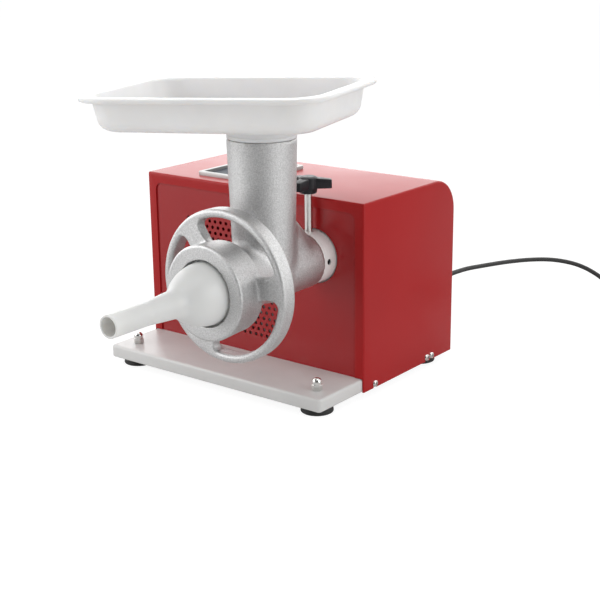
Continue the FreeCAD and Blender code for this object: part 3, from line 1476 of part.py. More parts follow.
def motor_bolt_holes(name, start, length):
    return [cylinder(f"{name}_bolt_hole_{n}", "motor_bolt_radius + thread_gap", length,
                     (f"motor_x + {across}", start, f"motor_z + {up}"), REARWARD)
            for n, (across, up) in enumerate(motor_bolt_spots())]


def end_shield(name, start, turn):
    """A cup with a bearing seat in the middle of its disc."""
    corners = [("motor_shaft_radius + 2", "0"), ("motor_radius", "0"), ("motor_radius", "shield_depth"),
               ("motor_radius - shield_rim", "shield_depth"), ("motor_radius - shield_rim", "shield_disc"),
               ("motor_bearing_radius + boss_wall", "shield_disc"),
               ("motor_bearing_radius + boss_wall", "shield_disc + motor_bearing_width"),
               ("motor_bearing_radius + thread_gap", "shield_disc + motor_bearing_width"),
               ("motor_bearing_radius + thread_gap", "shield_disc"),
               ("motor_shaft_radius + 2", "shield_disc")]
    return turned(name, corners, ("motor_x", start, "motor_z"), turn)


def motor_shields():
    front = cut("front_shield", end_shield("front_cup", "cover_rear", REARWARD),
                motor_bolt_holes("front_shield", "cover_rear - 1", "shield_depth + 2"))
    rear = cut("rear_shield", end_shield("rear_cup", "motor_rear", FORWARD),
               motor_bolt_holes("rear_shield", "rear_shield_y - 1", "shield_depth + 2"))
    named(front, "motor_front_shield")
    named(rear, "motor_rear_shield")


def motor_stator():
    core = ring("stator_ring", "stator_bore", "motor_radius", "stator_length",
                ("motor_x", "stator_y", "motor_z"), REARWARD)
    return named(cut("stator_core", core, motor_bolt_holes("stator", "stator_y - 1", "stator_length + 2")),
                 "motor_stator")


def motor_windings():
    rings = [ring(f"winding_{n}", "winding_inner", "winding_outer", "winding_length",
                  ("motor_x", start, "motor_z"), REARWARD)
             for n, start in enumerate(("stator_y - winding_length", "rear_shield_y"))]
    return named(group("winding_set", rings), "motor_windings")


def motor_through_bolts():
    bolts = []
    length = "motor_rear - box_rear - 3"
    for n, (across, up) in enumerate(motor_bolt_spots()):
        x, z = f"motor_x + {across}", f"motor_z + {up}"
        head = cylinder(f"motor_bolt_head_{n}", "motor_bolt_head", "motor_bolt_head_height",
                        (x, "motor_rear", z), REARWARD)
        rod = cylinder(f"motor_bolt_rod_{n}", "motor_bolt_radius", length, (x, "motor_rear", z), FORWARD)
        bolts.append(joined(f"motor_bolt_{n}", [head, rod]))
    return named(group("motor_bolt_set", bolts), "motor_through_bolts")


def motor_bearings():
    races = [ring(f"motor_race_{n}", "motor_shaft_radius + run_gap", "motor_bearing_radius",
                  "motor_bearing_width",
                  ("motor_x", start, "motor_z"), REARWARD)
             for n,
             start in enumerate(("cover_rear + shield_disc",
                                 "motor_rear - shield_disc - motor_bearing_width"))]
    return named(group("motor_race_set", races), "motor_bearings")


def rotor_core():
    core = ring("rotor_ring", "motor_shaft_radius + thread_gap/2", "stator_bore - air_gap", "stator_length",
                ("motor_x", "stator_y", "motor_z"), REARWARD)
    return named(core, "rotor_core")


def motor_shaft():
    rod = cylinder("motor_rod", "motor_shaft_radius", "motor_rear + fan_gap + fan_width + 1 - gear_one_y",
                   ("motor_x", "gear_one_y - 0.5", "motor_z"), REARWARD)
    return named(rod, "motor_shaft")


def cooling_fan():
    start = ("motor_x", "motor_rear + fan_gap", "motor_z")
    hub = ring("fan_boss", "motor_shaft_radius + thread_gap/2", "fan_hub", "fan_width", start, REARWARD)
    pieces = [hub]
    for n, degrees in enumerate(polar(value("fan_blades"))):
        blade = Part.makeBox(value("fan_radius - fan_hub + 1"), value("fan_width"), value("fan_blade"),
                             Vector(value("fan_hub") - 1, 0, -value("fan_blade") / 2))
        blade.rotate(Vector(), Vector(0, 1, 0), degrees)
        pieces.append(shaped(f"fan_blade_{n}", blade, start))
    return named(joined("fan_wheel", pieces), "cooling_fan")


def motor_cradle():
    middle = "stator_y + stator_length/2"
    block = box("cradle_block", ("cradle_width", "cradle_length", "motor_z - plate_top - motor_radius/3"),
                ("motor_x - cradle_width/2", f"{middle} - cradle_length/2", "plate_top"))
    hollow = cylinder("cradle_hollow", "motor_radius + thread_gap", "cradle_length + 2",
                      ("motor_x", f"{middle} - cradle_length/2 - 1", "motor_z"), REARWARD)
    return named(cut("cradle", block, [hollow]), "motor_cradle")


def run_capacitor():
    can = cylinder("capacitor_can", "capacitor_radius", "capacitor_length",
                   ("capacitor_x", "capacitor_y", "plate_top + capacitor_rise + capacitor_radius"),
                   REARWARD)
    return named(can, "run_capacitor")


def capacitor_clip():
    wide = "2*(capacitor_radius + clip_wall)"
    block = middle_box("clip_block",
                       (wide, "clip_width", "capacitor_rise + 2*capacitor_radius + clip_wall"),
                       ("capacitor_x", "capacitor_y + capacitor_length/2", "plate_top"))
    hole = cylinder("clip_hole", "capacitor_radius + thread_gap", "clip_width + 2",
                    ("capacitor_x", "capacitor_y + capacitor_length/2 - clip_width/2 - 1",
                     "plate_top + capacitor_rise + capacitor_radius"), REARWARD)
    return named(cut("clip", block, [hole]), "capacitor_clip")


def terminal_block():
    block = middle_box("terminal_body", ("terminal_width", "terminal_depth", "terminal_height"),
                       ("terminal_x", "terminal_y", "plate_top"))
    return named(block, "terminal_block")


# Mains cord

def cord_gland():
    """A bush through the rear sheet with a tapering tail, which the cord leaves face to face."""
    inner = "gland_flange_thickness"
    outer = "gland_flange_thickness + sheet"
    total = "gland_flange_thickness + sheet + gland_length"
    corners = [("0", "0"), ("gland_flange", "0"), ("gland_flange", inner), ("gland_hole", inner),
               ("gland_hole", outer),
               ("gland_flange", outer), ("gland_flange", f"{outer} + gland_flange_thickness"),
               ("gland_root", f"{outer} + gland_flange_thickness"), ("gland_tip", total), ("0", total)]
    bush = turned("gland_bush", corners,
                  ("gland_x", "casing_depth - sheet - gland_flange_thickness", "gland_z"), REARWARD)
    return named(bush, "cord_gland")


def smooth_path(points):
    """Straight runs joined by arcs, each as large as its two runs allow."""
    edges = []
    radii = []
    start = points[0]
    for before, here, after in zip(points, points[1:], points[2:]):
        back = before - here
        ahead = after - here
        bend = math.pi - back.getAngle(ahead)
        reach = 0.45 * min(back.Length, ahead.Length)
        radius = reach / math.tan(bend / 2)
        radii.append(radius)
        first = here + back.normalize() * reach
        last = here + ahead.normalize() * reach
        inward = (back + ahead).normalize()
        middle = here + inward * (radius / math.cos(bend / 2) - radius)
        edges.append(Part.LineSegment(start, first).toShape())
        edges.append(Part.Arc(first, middle, last).toShape())
        start = last
    edges.append(Part.LineSegment(start, points[-1]).toShape())
    print("cord radii", [round(r) for r in radii])
    return Part.Wire(edges)


def tube(path, radius):
    """A round solid along a path, whose volume is compared with its section times its length."""
    first = path.Edges[0]
    along = first.tangentAt(first.FirstParameter)
    section = Part.Wire(Part.makeCircle(radius, first.valueAt(first.FirstParameter), along))
    solid = path.makePipeShell([section], True, False)
    expected = math.pi * radius ** 2 * path.Length
    print("tube length", round(path.Length, 1), "volume ratio", round(solid.Volume / expected, 5))
    return solid


def route_points():
    return [Vector(*point) for point in CORD_ROUTE]


def power_cord():
    lead = tube(smooth_path(route_points()), value("cord_radius"))
    return named(shaped("cord_lead", lead), "power_cord")


def coil_frame():
    """The coil's first point, the way the cord runs there, and the coil's middle to the right of it."""
    points = route_points()
    way = (points[-1] - points[-2]).normalize()
    right = Vector(way.y, -way.x, 0)
    first = points[-1] + way * (2 * value("cord_radius"))
    return first, way, first + right * value("coil_outer")


def coil_spot(turns):
    """Point of the coil after so many turns: in on the lower layer, up, and out on the upper one."""
    first, way, middle = coil_frame()
    rate = value("2*cord_radius + coil_gap")
    wound = value("coil_turns_in")
    rising = value("coil_climb")
    outer = value("coil_outer")
    inner = outer - rate * wound
    climb = min(max((turns - wound) / rising, 0.0), 1.0)
    if turns <= wound:
        radius = outer - rate * turns
    elif turns >= wound + rising:
        radius = inner + rate * (turns - wound - rising)
    else:
        radius = inner - rate * rising * climb * (1 - climb)
    up = rate * climb * climb * (3 - 2 * climb)
    begin = math.atan2(first.y - middle.y, first.x - middle.x)
    angle = begin - 2 * math.pi * turns
    return Vector(middle.x + radius * math.cos(angle), middle.y + radius * math.sin(angle), first.z + up)


def coil_way(turns):
    step = 1e-4
    return (coil_spot(turns + step) - coil_spot(turns - step)).normalize()


def tangent_arc(start, way, end):
    """The arc that leaves start along way and reaches end."""
    chord = end - start
    across = chord - way * chord.dot(way)
    if across.Length < 1e-6 * chord.Length:
        return Part.LineSegment(start, end).toShape()
    side = Vector(across).normalize()
    radius = chord.dot(chord) / (2 * chord.dot(side))
    middle = start + side * radius
    halfway = ((start + end) * 0.5 - middle).normalize()
    if chord.dot(way) < 0:
        halfway = halfway * -1
    return Part.Arc(start, middle + halfway * radius, end).toShape()


def biarc(start, way, end, end_way):
    """Two arcs that meet with one tangent, between two points with given directions."""
    chord = end - start
    both = way + end_way
    spread = 2 * (1 - way.dot(end_way))
    if spread < 1e-9:
        reach = chord.dot(chord) / (2 * chord.dot(both))
    else:
        reach = (math.sqrt(chord.dot(both) ** 2 + spread * chord.dot(chord)) - chord.dot(both)) / spread
    meet = (start + way * reach + end - end_way * reach) * 0.5
    second = tangent_arc(end, end_way * -1, meet)
    finish = Part.Arc(meet, second.valueAt((second.FirstParameter + second.LastParameter) / 2),
                      end).toShape()
    return [tangent_arc(start, way, meet), finish]


def coil_total():
    return value("coil_turns_in + coil_climb + coil_turns_out")


def cord_coil():
    """The put-away length: one unbroken tube, wound in on the floor and out again on top."""
    total = coil_total()
    quarter = 0.25
    stations = [n * quarter for n in range(int(total / quarter) + 1)]
    first = coil_spot(0)
    entry_way = coil_frame()[1]
    ways = [coil_way(s) for s in stations]
    ways[0] = entry_way
    ways[-1] = Vector(ways[-1].x, ways[-1].y, 0).normalize()
    lead = value("2*cord_radius")
    edges = [Part.LineSegment(first - entry_way * lead, first).toShape()]
    for n in range(len(stations) - 1):
        edges += biarc(coil_spot(stations[n]), ways[n], coil_spot(stations[n + 1]), ways[n + 1])
    last = coil_spot(stations[-1])
    edges.append(Part.LineSegment(last, last + ways[-1] * value("coil_tail")).toShape())
    path = Part.Wire(edges)
    print("coil gap to itself", round(least_gap(stations[-1]), 2))
    return named(shaped("coil_winding", tube(path, value("cord_radius"))), "cord_coil")


def least_gap(total):
    """Smallest clear space between turns that lie more than a third of a turn apart."""
    per_turn = 48
    apart = per_turn // 3
    spots = [coil_spot(n / per_turn) for n in range(int(total * per_turn) + 1)]
    nearest = min((a - b).Length for n, a in enumerate(spots) for b in spots[n + apart:])
    return nearest - 2 * value("cord_radius")


def coil_end():
    total = coil_total()
    way = coil_way(total)
    way = Vector(way.x, way.y, 0).normalize()
    return coil_spot(total) + way * value("coil_tail"), way


def cord_tie():
    """A flat strap round all the turns, opposite the cord's way in."""
    first, way, middle = coil_frame()
    rate = value("2*cord_radius + coil_gap")
    cord = value("cord_radius")
    clear = value("tie_clear")
    thick = value("tie_thickness")
    width = value("tie_width")
    inner = value("coil_outer") - rate * value("coil_turns_in + coil_climb") - cord - clear
    outer = value("coil_outer") + cord + clear
    low = first.z - cord - thick / 2
    high = first.z + rate + cord + clear
    band = Part.makeBox(outer - inner + 2 * thick, width, high - low + 2 * thick,
                        Vector(inner - thick, -width / 2, low - thick / 2))
    room = Part.makeBox(outer - inner, width + 2, high - low,
                        Vector(inner, -width / 2 - 1, low + thick / 2))
    strap = band.cut(room)
    angle = math.degrees(math.atan2(first.y - middle.y, first.x - middle.x)) + 180
    strap.rotate(Vector(), Vector(0, 0, 1), angle)
    strap.translate(Vector(middle.x, middle.y, 0))
    return named(shaped("coil_strap", strap), "cord_tie")


def mains_plug():
    """A flat moulded plug with a tapering tail, lying where the coil ends."""
    start, way = coil_end()
    relief = value("plug_relief")
    length = value("plug_length")
    width = value("plug_width")
    thick = 2 * start.z - 0.1
    tail = Part.makeCone(value("cord_radius + 1"), value("plug_relief_radius"), relief, Vector(),
                         Vector(1, 0, 0))
    body = Part.makeBox(length, width, thick, Vector(relief, -width / 2, -thick / 2))
    long_edges = [edge for edge in body.Edges if not runs_along(edge, 1)]
    body = body.makeFillet(value("plug_edge"), long_edges)
    turn = Rotation(Vector(1, 0, 0), way)
    moulding = tail.fuse(body)
    pins = []
    for side in (-1, 1):
        foot = Vector(relief + length, side * value("plug_pin_spread") / 2, 0)
        pins.append(Part.makeCylinder(value("plug_pin_radius"), value("plug_pin_length"), foot,
                                      Vector(1, 0, 0)))
    for shape in (moulding, *pins):
        shape.Placement = Placement(start, turn).multiply(shape.Placement)
    named(shaped("plug_moulding", moulding.copy()), "mains_plug")
    named(shaped("plug_pin_set", Part.makeCompound(pins)), "plug_pins")


BUILD = [
    base_plate, rubber_feet, foot_bolts, foot_dome_nuts, casing_cover, casing_screws, front_panel,
    panel_angle,
    switch_bezel, switch_face, switch_housing, switch_rocker, button_socket, reset_button,
    output_collar, collar_screws, grub_screw, clamp_stud, clamp_knob,
    grinder_body, thrust_washer, feed_screw, knife, grinding_plate, ring_nut, stuffing_funnel, feed_tray,
    tray_collar,
    gearbox_housing, gearbox_cover, cover_bolts, pedestal_bolts, output_shaft, output_gear, output_bearings,
    oil_seal,
    middle_shaft, middle_gear, middle_pinion, middle_bushes,
    motor_shields, motor_stator, motor_windings, motor_through_bolts, motor_bearings, rotor_core,
    motor_shaft,
    motor_pinion, cooling_fan, motor_cradle, run_capacitor, capacitor_clip, terminal_block,
    cord_gland, power_cord, cord_coil, cord_tie, mains_plug,
]


def check_document():
    """Stop before anything is written if a feature failed or a sub-part has no sound solid."""
    for thing in doc.Objects:
        if "Invalid" in thing.State or "Error" in thing.State:
            raise RuntimeError(f"{thing.Name} failed: {thing.State}")
    for part in sub_parts:
        if part.Shape.isNull() or not part.Shape.isValid() or not part.Shape.Solids:
            raise RuntimeError(f"{part.Label} has no sound solid")


def write_parts():
    os.makedirs("parts", exist_ok=True)
    for part in sub_parts:
        part.Shape.exportStep(os.path.join("parts", part.Label + ".step"))


def main():
    fill_sheets()
    for make in BUILD:
        make()
        doc.recompute()
    check_document()
    write_parts()
    print(len(sub_parts), "sub-parts written")


main()
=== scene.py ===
"""Looks of the electric meat grinder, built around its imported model. Metres, +Z up, ring nut towards -Y."""

import json
import math

import bmesh
import bpy
from mathutils import Matrix, Vector


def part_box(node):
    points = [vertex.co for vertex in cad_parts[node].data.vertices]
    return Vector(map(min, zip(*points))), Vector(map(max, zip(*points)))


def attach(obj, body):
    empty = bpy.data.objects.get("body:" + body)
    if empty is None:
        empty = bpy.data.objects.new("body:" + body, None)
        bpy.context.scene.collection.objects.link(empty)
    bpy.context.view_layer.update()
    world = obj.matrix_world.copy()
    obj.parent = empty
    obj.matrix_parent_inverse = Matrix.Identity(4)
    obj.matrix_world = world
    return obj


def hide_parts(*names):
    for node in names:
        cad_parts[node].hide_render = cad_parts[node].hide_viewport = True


MM = 0.001
FORWARD = Matrix.Rotation(math.radians(90), 4, "X")
REARWARD = Matrix.Rotation(math.radians(-90), 4, "X")
RIGHTWARD = Matrix.Rotation(math.radians(90), 4, "Y")
UPRIGHT = Matrix.Identity(4)

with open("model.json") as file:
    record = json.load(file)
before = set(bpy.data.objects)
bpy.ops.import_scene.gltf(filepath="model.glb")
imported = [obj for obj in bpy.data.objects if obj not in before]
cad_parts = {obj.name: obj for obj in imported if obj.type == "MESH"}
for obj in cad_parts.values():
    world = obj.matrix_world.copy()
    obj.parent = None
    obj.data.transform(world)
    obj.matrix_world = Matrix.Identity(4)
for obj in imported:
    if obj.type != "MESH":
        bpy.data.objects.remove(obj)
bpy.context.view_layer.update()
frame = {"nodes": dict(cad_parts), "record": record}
SLOT_OF = {row["node"]: row["material_slot"] for row in frame["record"]["subparts"]}


def middle_of(node):
    """The middle of a CAD node's box."""
    low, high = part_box(node)
    return (low + high) / 2


# Places are measured in millimetres from the middle of the cover's front edge, on the table.
cover_low, cover_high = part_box("casing_cover")
DATUM = Vector(((cover_low.x + cover_high.x) / 2, cover_low.y, 0))
BARREL = middle_of("grinding_plate") - DATUM
BARREL_X, BARREL_Z = BARREL.x / MM, BARREL.z / MM


def spot(x, y, z):
    """A place in millimetres from the datum, as a point of the frame."""
    return DATUM + Vector((x, y, z)) * MM


# Small tools for meshes

def corner_arc(before, here, after, radius, segments):
    """Points that round one corner of an outline."""
    back = (Vector(before) - Vector(here)).normalized()
    ahead = (Vector(after) - Vector(here)).normalized()
    bend = math.pi - back.angle(ahead)
    reach = radius * math.tan(bend / 2)
    centre = Vector(here) + (back + ahead).normalized() * (radius / math.cos(bend / 2))
    first = Vector(here) + back * reach - centre
    last = Vector(here) + ahead * reach - centre
    points = []
    for step in range(segments + 1):
        share = step / segments
        points.append(tuple(centre + radius * first.slerp(last, share)))
    return points


def softened(outline, radii, closed=False, segments=5):
    """An outline of (radius, height) corners, each rounded by its own radius in millimetres."""
    points = []
    count = len(outline)
    for n, here in enumerate(outline):
        inner = closed or 0 < n < count - 1
        if inner and radii[n] > 0:
            points += corner_arc(outline[n - 1], here, outline[(n + 1) % count], radii[n], segments)
        else:
            points.append(here)
    return points


def lathe(bm, outline, centre, turn, steps=96, closed=False):
    """Spin an outline of (radius, height) points in millimetres about an axis through centre."""
    verts = [bm.verts.new((radius * MM, 0, height * MM)) for radius, height in outline]
    pairs = list(zip(verts, verts[1:]))
    if closed:
        pairs.append((verts[-1], verts[0]))
    edges = [bm.edges.new(pair) for pair in pairs]
    bmesh.ops.spin(bm, geom=verts + edges, cent=(0, 0, 0), axis=(0, 0, 1), angle=2 * math.pi, steps=steps,
                   use_merge=True)
    grown = set(verts)
    frontier = list(grown)
    while frontier:
        found = {e.other_vert(v) for v in frontier for e in v.link_edges} - grown
        grown |= found
        frontier = list(found)
    bmesh.ops.transform(bm, matrix=Matrix.Translation(centre) @ turn, verts=list(grown))
    bmesh.ops.remove_doubles(bm, verts=list(grown), dist=1e-7)


def block(bm, size, centre, turn=UPRIGHT):
    """A box of a size in millimetres about a centre. Returns its vertices."""
    made = bmesh.ops.create_cube(bm, size=1)["verts"]
    scale = Matrix.Diagonal((size[0] * MM, size[1] * MM, size[2] * MM, 1))
    bmesh.ops.transform(bm, matrix=Matrix.Translation(centre) @ turn @ scale, verts=made)
    return made


def rod(radius, low, high):
    """The outline of a plain round bar."""
    return [(0, low), (radius, low), (radius, high), (0, high)]


def edges_between(bm, verts, test):
    """The edges among some vertices that pass a test."""
    inside = set(verts)
    return [e for e in bm.edges if e.verts[0] in inside and e.verts[1] in inside and test(e)]


def runs_along(edge, axis):
    """True for an edge that lies along an axis of the frame."""
    way = edge.verts[1].co - edge.verts[0].co
    return abs(way[axis]) > 0.999 * way.length


def round_edges(bm, edges, radius, segments=4):
    """Round some edges by a radius in millimetres."""
    bmesh.ops.bevel(bm, geom=edges, offset=radius * MM, offset_type="OFFSET", segments=segments, profile=0.5,
                    affect="EDGES", material=-1, clamp_overlap=True)


def sharp_edges(bm, degrees):
    """The edges whose faces meet at more than an angle."""
    limit = math.radians(degrees)
    return [e for e in bm.edges if len(e.link_faces) == 2 and e.calc_face_angle(0) > limit]


def new_object(bm, name, recalculate=True):
    """Turn a bmesh into an object of the scene."""
    if recalculate:
        bmesh.ops.remove_doubles(bm, verts=bm.verts, dist=1e-7)
        bmesh.ops.recalc_face_normals(bm, faces=bm.faces)
    mesh = bpy.data.meshes.new(name)
    bm.to_mesh(mesh)
    bm.free()
    obj = bpy.data.objects.new(name, mesh)
    bpy.context.scene.collection.objects.link(obj)
    return obj


def settle(obj):
    """Make the modifiers part of the mesh."""
    bpy.context.view_layer.update()
    done = bpy.data.meshes.new_from_object(obj.evaluated_get(bpy.context.evaluated_depsgraph_get()))
    old = obj.data
    obj.modifiers.clear()
    obj.data = done
    bpy.data.meshes.remove(old)


def carve(obj, bm, name):
    """Take a cutter away from an object."""
    cutter = new_object(bm, name)
    cut = obj.modifiers.new("cut", "BOOLEAN")
    cut.object = cutter
    cut.operation = "DIFFERENCE"
    cut.solver = "EXACT"
    settle(obj)
    bpy.data.objects.remove(cutter)


def shade(obj, degrees):
    """Smooth shading that breaks at edges over an angle."""
    for polygon in obj.data.polygons:
        polygon.use_smooth = True
    obj.data.set_sharp_from_angle(angle=math.radians(degrees))


def dress(obj, body, material, *nodes, degrees=38):
    """Finish a piece: its shading, material, body and the CAD nodes that it stands for."""
    shade(obj, degrees)
    obj.data.materials.clear()
    obj.data.materials.append(material)
    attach(obj, body)
    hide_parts(*nodes)
    return obj


def node_copy(node):
    """A bmesh of a CAD node's own shape, with its loose triangles joined."""
    bm = bmesh.new()
    bm.from_mesh(frame["nodes"][node].data)
    bmesh.ops.remove_doubles(bm, verts=bm.verts, dist=2e-6)
    return bm


# Materials

def start_material(name, colour, roughness, metallic=0.0):
    """A new material, its node tree and its shader."""
    material = bpy.data.materials.new(name)
    material.use_nodes = True
    shader = material.node_tree.nodes["Principled BSDF"]
    shader.inputs["Base Color"].default_value = (*colour, 1)
    shader.inputs["Roughness"].default_value = roughness
    shader.inputs["Metallic"].default_value = metallic
    return material, material.node_tree, shader


def add(tree, kind, **values):
    """A node whose sockets and settings are given by name; a double underscore stands for a space."""
    node = tree.nodes.new(kind)
    for name, value in values.items():
        socket = node.inputs.get(name.replace("__", " "))
        if socket is not None:
            socket.default_value = value
        else:
            setattr(node, name, value)
    return node


def noise(tree, scale, detail=3.0, roughness=0.55, stretch=(1, 1, 1)):
    """Noise on the piece's own coordinates, with the scale in features per metre."""
    place = add(tree, "ShaderNodeTexCoord")
    mapping = add(tree, "ShaderNodeMapping", Scale=stretch)
    pattern = add(tree, "ShaderNodeTexNoise", Scale=scale, Detail=detail, Roughness=roughness)
    tree.links.new(place.outputs["Object"], mapping.inputs["Vector"])
    tree.links.new(mapping.outputs["Vector"], pattern.inputs["Vector"])
    return pattern.outputs["Fac"]


def ramp(tree, source, low, high, start=0.3, stop=0.7):
    """A colour ramp between two colours."""
    node = add(tree, "ShaderNodeValToRGB")
    node.color_ramp.elements[0].position = start
    node.color_ramp.elements[0].color = (*low, 1)
    node.color_ramp.elements[1].position = stop
    node.color_ramp.elements[1].color = (*high, 1)
    tree.links.new(source, node.inputs["Fac"])
    return node.outputs["Color"]


def spread(tree, source, low, high, start=0.3, stop=0.7):
    """Map a pattern to a range of numbers."""
    node = add(tree, "ShaderNodeMapRange")
    for name, number in (("From Min", start), ("From Max", stop), ("To Min", low), ("To Max", high)):
        node.inputs[name].default_value = number
    tree.links.new(source, node.inputs["Value"])
    return node.outputs["Result"]


def feed(tree, shader, socket, source):
    """Drive a socket of the shader by a pattern."""
    tree.links.new(source, shader.inputs[socket])


def bump(tree, shader, height, strength, distance, under=None):
    """Roughen the surface by a pattern, on top of an earlier bump if there is one."""
    node = add(tree, "ShaderNodeBump", Strength=strength, Distance=distance)
    tree.links.new(height, node.inputs["Height"])
    if under is not None:
        tree.links.new(under, node.inputs["Normal"])
    tree.links.new(node.outputs["Normal"], shader.inputs["Normal"])
    return node.outputs["Normal"]


def red_enamel(name, colour, gloss, roughness):
    """Stove enamel on sheet steel: even red with a soft orange peel."""
    material, tree, shader = start_material(name, colour, roughness)
    shader.inputs["Specular IOR Level"].default_value = gloss
    cloud = noise(tree, 9.0, 2.0)
    low = tuple(0.96 * c for c in colour)
    high = tuple(1.04 * c for c in colour)
    feed(tree, shader, "Base Color", ramp(tree, cloud, low, high))
    cloudy = spread(tree, noise(tree, 14.0), roughness - 0.02, roughness + 0.03)
    feed(tree, shader, "Roughness", cloudy)
    bump(tree, shader, noise(tree, 520.0, 1.0), 0.025, 0.0002)
    return material


def cast_metal():
    """Sand-cast, tumbled metal: dull silver with a fine grain of bright and dark specks."""
    material, tree, shader = start_material("cast_metal", (0.58, 0.58, 0.58), 0.40, 0.90)
    grain = noise(tree, 760.0, 3.0, 0.7)
    specks = ramp(tree, grain, (0.46, 0.46, 0.46), (0.68, 0.68, 0.68), 0.34, 0.66)
    feed(tree, shader, "Base Color", specks)
    feed(tree, shader, "Roughness", spread(tree, noise(tree, 240.0, 3.0), 0.33, 0.45))
    skin = bump(tree, shader, noise(tree, 150.0, 2.0), 0.20, 0.0008)
    bump(tree, shader, grain, 0.75, 0.0007, skin)
    return material


def turned_metal(name, colour, metallic):
    """Pale machined metal with fine tool marks."""
    material, tree, shader = start_material(name, colour, 0.38, metallic)
    marks = noise(tree, 90.0, 3.0, 0.6, (1, 30, 1))
    low = tuple(0.93 * c for c in colour)
    high = tuple(1.07 * c for c in colour)
    feed(tree, shader, "Base Color", ramp(tree, marks, low, high))
    bump(tree, shader, marks, 0.15, 0.0003)
    return material


def bright_steel():
    """Polished steel with faint drawing lines."""
    material, tree, shader = start_material("bright_steel", (0.72, 0.71, 0.69), 0.16, 1.0)
    lines = noise(tree, 160.0, 3.0, 0.6, (8, 8, 1))
    feed(tree, shader, "Roughness", spread(tree, lines, 0.10, 0.24))
    bump(tree, shader, lines, 0.08, 0.0002)
    return material


def milky_plastic(name, colour, glow):
    """White food-grade plastic that lets a little light through."""
    material, tree, shader = start_material(name, colour, 0.36)
    shader.inputs["Subsurface Weight"].default_value = glow
    shader.inputs["Subsurface Radius"].default_value = (1.0, 0.9, 0.8)
    shader.inputs["Subsurface Scale"].default_value = 0.006
    shade_colour = tuple(0.94 * c for c in colour)
    feed(tree, shader, "Base Color", ramp(tree, noise(tree, 22.0, 2.0), shade_colour, colour))
    feed(tree, shader, "Roughness", spread(tree, noise(tree, 140.0, 3.0), 0.30, 0.44))
    bump(tree, shader, noise(tree, 300.0, 2.0), 0.06, 0.0005)
    return material


def black_plastic():
    """Moulded black plastic with a fine spark-eroded grain."""
    material, tree, shader = start_material("black_plastic", (0.012, 0.012, 0.014), 0.38)
    grain = noise(tree, 1400.0, 2.0)
    feed(tree, shader, "Base Color", ramp(tree, grain, (0.010, 0.010, 0.012), (0.022, 0.022, 0.026)))
    feed(tree, shader, "Roughness", spread(tree, noise(tree, 200.0), 0.32, 0.46))
    shader.inputs["Specular IOR Level"].default_value = 0.25
    bump(tree, shader, grain, 0.12, 0.0003)
    return material


def black_rubber():
    """Soft black rubber: dull, slightly dusty."""
    material, tree, shader = start_material("black_rubber", (0.016, 0.016, 0.016), 0.62)
    dust = noise(tree, 120.0, 4.0)
    feed(tree, shader, "Base Color", ramp(tree, dust, (0.012, 0.012, 0.012), (0.034, 0.033, 0.032)))
    feed(tree, shader, "Roughness", spread(tree, dust, 0.52, 0.74))
    bump(tree, shader, noise(tree, 900.0, 2.0), 0.15, 0.0003)
    return material


def panel_grey():
    """Blue-grey printed film behind the bezel."""
    material, tree, shader = start_material("panel_grey", (0.05, 0.06, 0.08), 0.50)
    grain = noise(tree, 900.0, 2.0)
    feed(tree, shader, "Base Color", ramp(tree, grain, (0.045, 0.054, 0.07), (0.06, 0.072, 0.09)))
    shader.inputs["Specular IOR Level"].default_value = 0.12
    bump(tree, shader, grain, 0.1, 0.0003)
    return material


def button_red():
    """Glossy red button plastic."""
    material, tree, shader = start_material("button_red", (0.45, 0.02, 0.02), 0.30)
    cloud = ramp(tree, noise(tree, 80.0), (0.40, 0.016, 0.016), (0.48, 0.024, 0.024))
    feed(tree, shader, "Base Color", cloud)
    bump(tree, shader, noise(tree, 700.0, 2.0), 0.08, 0.0003)
    return material


def machine_metal(name, low, high, roughness, metallic=1.0):
    """Working metal inside the machine: cut marks and an oily variation."""
    material, tree, shader = start_material(name, high, roughness, metallic)
    marks = noise(tree, 130.0, 4.0, 0.6, (1, 12, 1))
    feed(tree, shader, "Base Color", ramp(tree, marks, low, high))
    feed(tree, shader, "Roughness", spread(tree, noise(tree, 45.0), roughness - 0.08, roughness + 0.1))
    bump(tree, shader, marks, 0.12, 0.0003)
    return material


RED = red_enamel("red_enamel", (0.40, 0.013, 0.014), 0.20, 0.30)
# The front panel's red is the cover's enamel made darker: painted shade for the recessed front panel. Its
# higher gloss and smoother finish are its own.
PANEL_RED_PAINTED_SHADE = red_enamel("panel_enamel_painted_shade", (0.36, 0.010, 0.012), 0.45, 0.24)
CAST = cast_metal()
COLLAR = turned_metal("turned_collar", (0.84, 0.84, 0.83), 0.10)
BRIGHT = bright_steel()
TRAY_WHITE = milky_plastic("tray_white", (0.82, 0.82, 0.82), 0.8)
BOARD_WHITE = milky_plastic("board_white", (0.72, 0.72, 0.71), 0.20)
FUNNEL_WHITE = milky_plastic("funnel_white", (0.82, 0.82, 0.80), 0.40)
KNOB_BLACK = black_plastic()
RUBBER = black_rubber()
PANEL_GREY = panel_grey()
FRAME_GREY = turned_metal("satin_frame", (0.42, 0.42, 0.41), 0.5)
BUTTON_RED = button_red()
STEEL = machine_metal("cut_steel", (0.42, 0.42, 0.43), (0.60, 0.60, 0.61), 0.34)
ALLOY = machine_metal("cast_alloy", (0.46, 0.46, 0.46), (0.62, 0.62, 0.62), 0.55, 0.9)
BRONZE = machine_metal("bush_bronze", (0.50, 0.31, 0.12), (0.62, 0.40, 0.17), 0.38)
BLACKED = machine_metal("blacked_steel", (0.010, 0.010, 0.012), (0.022, 0.022, 0.024), 0.45, 0.5)
COPPER = machine_metal("winding_copper", (0.45, 0.18, 0.07), (0.62, 0.27, 0.11), 0.42)

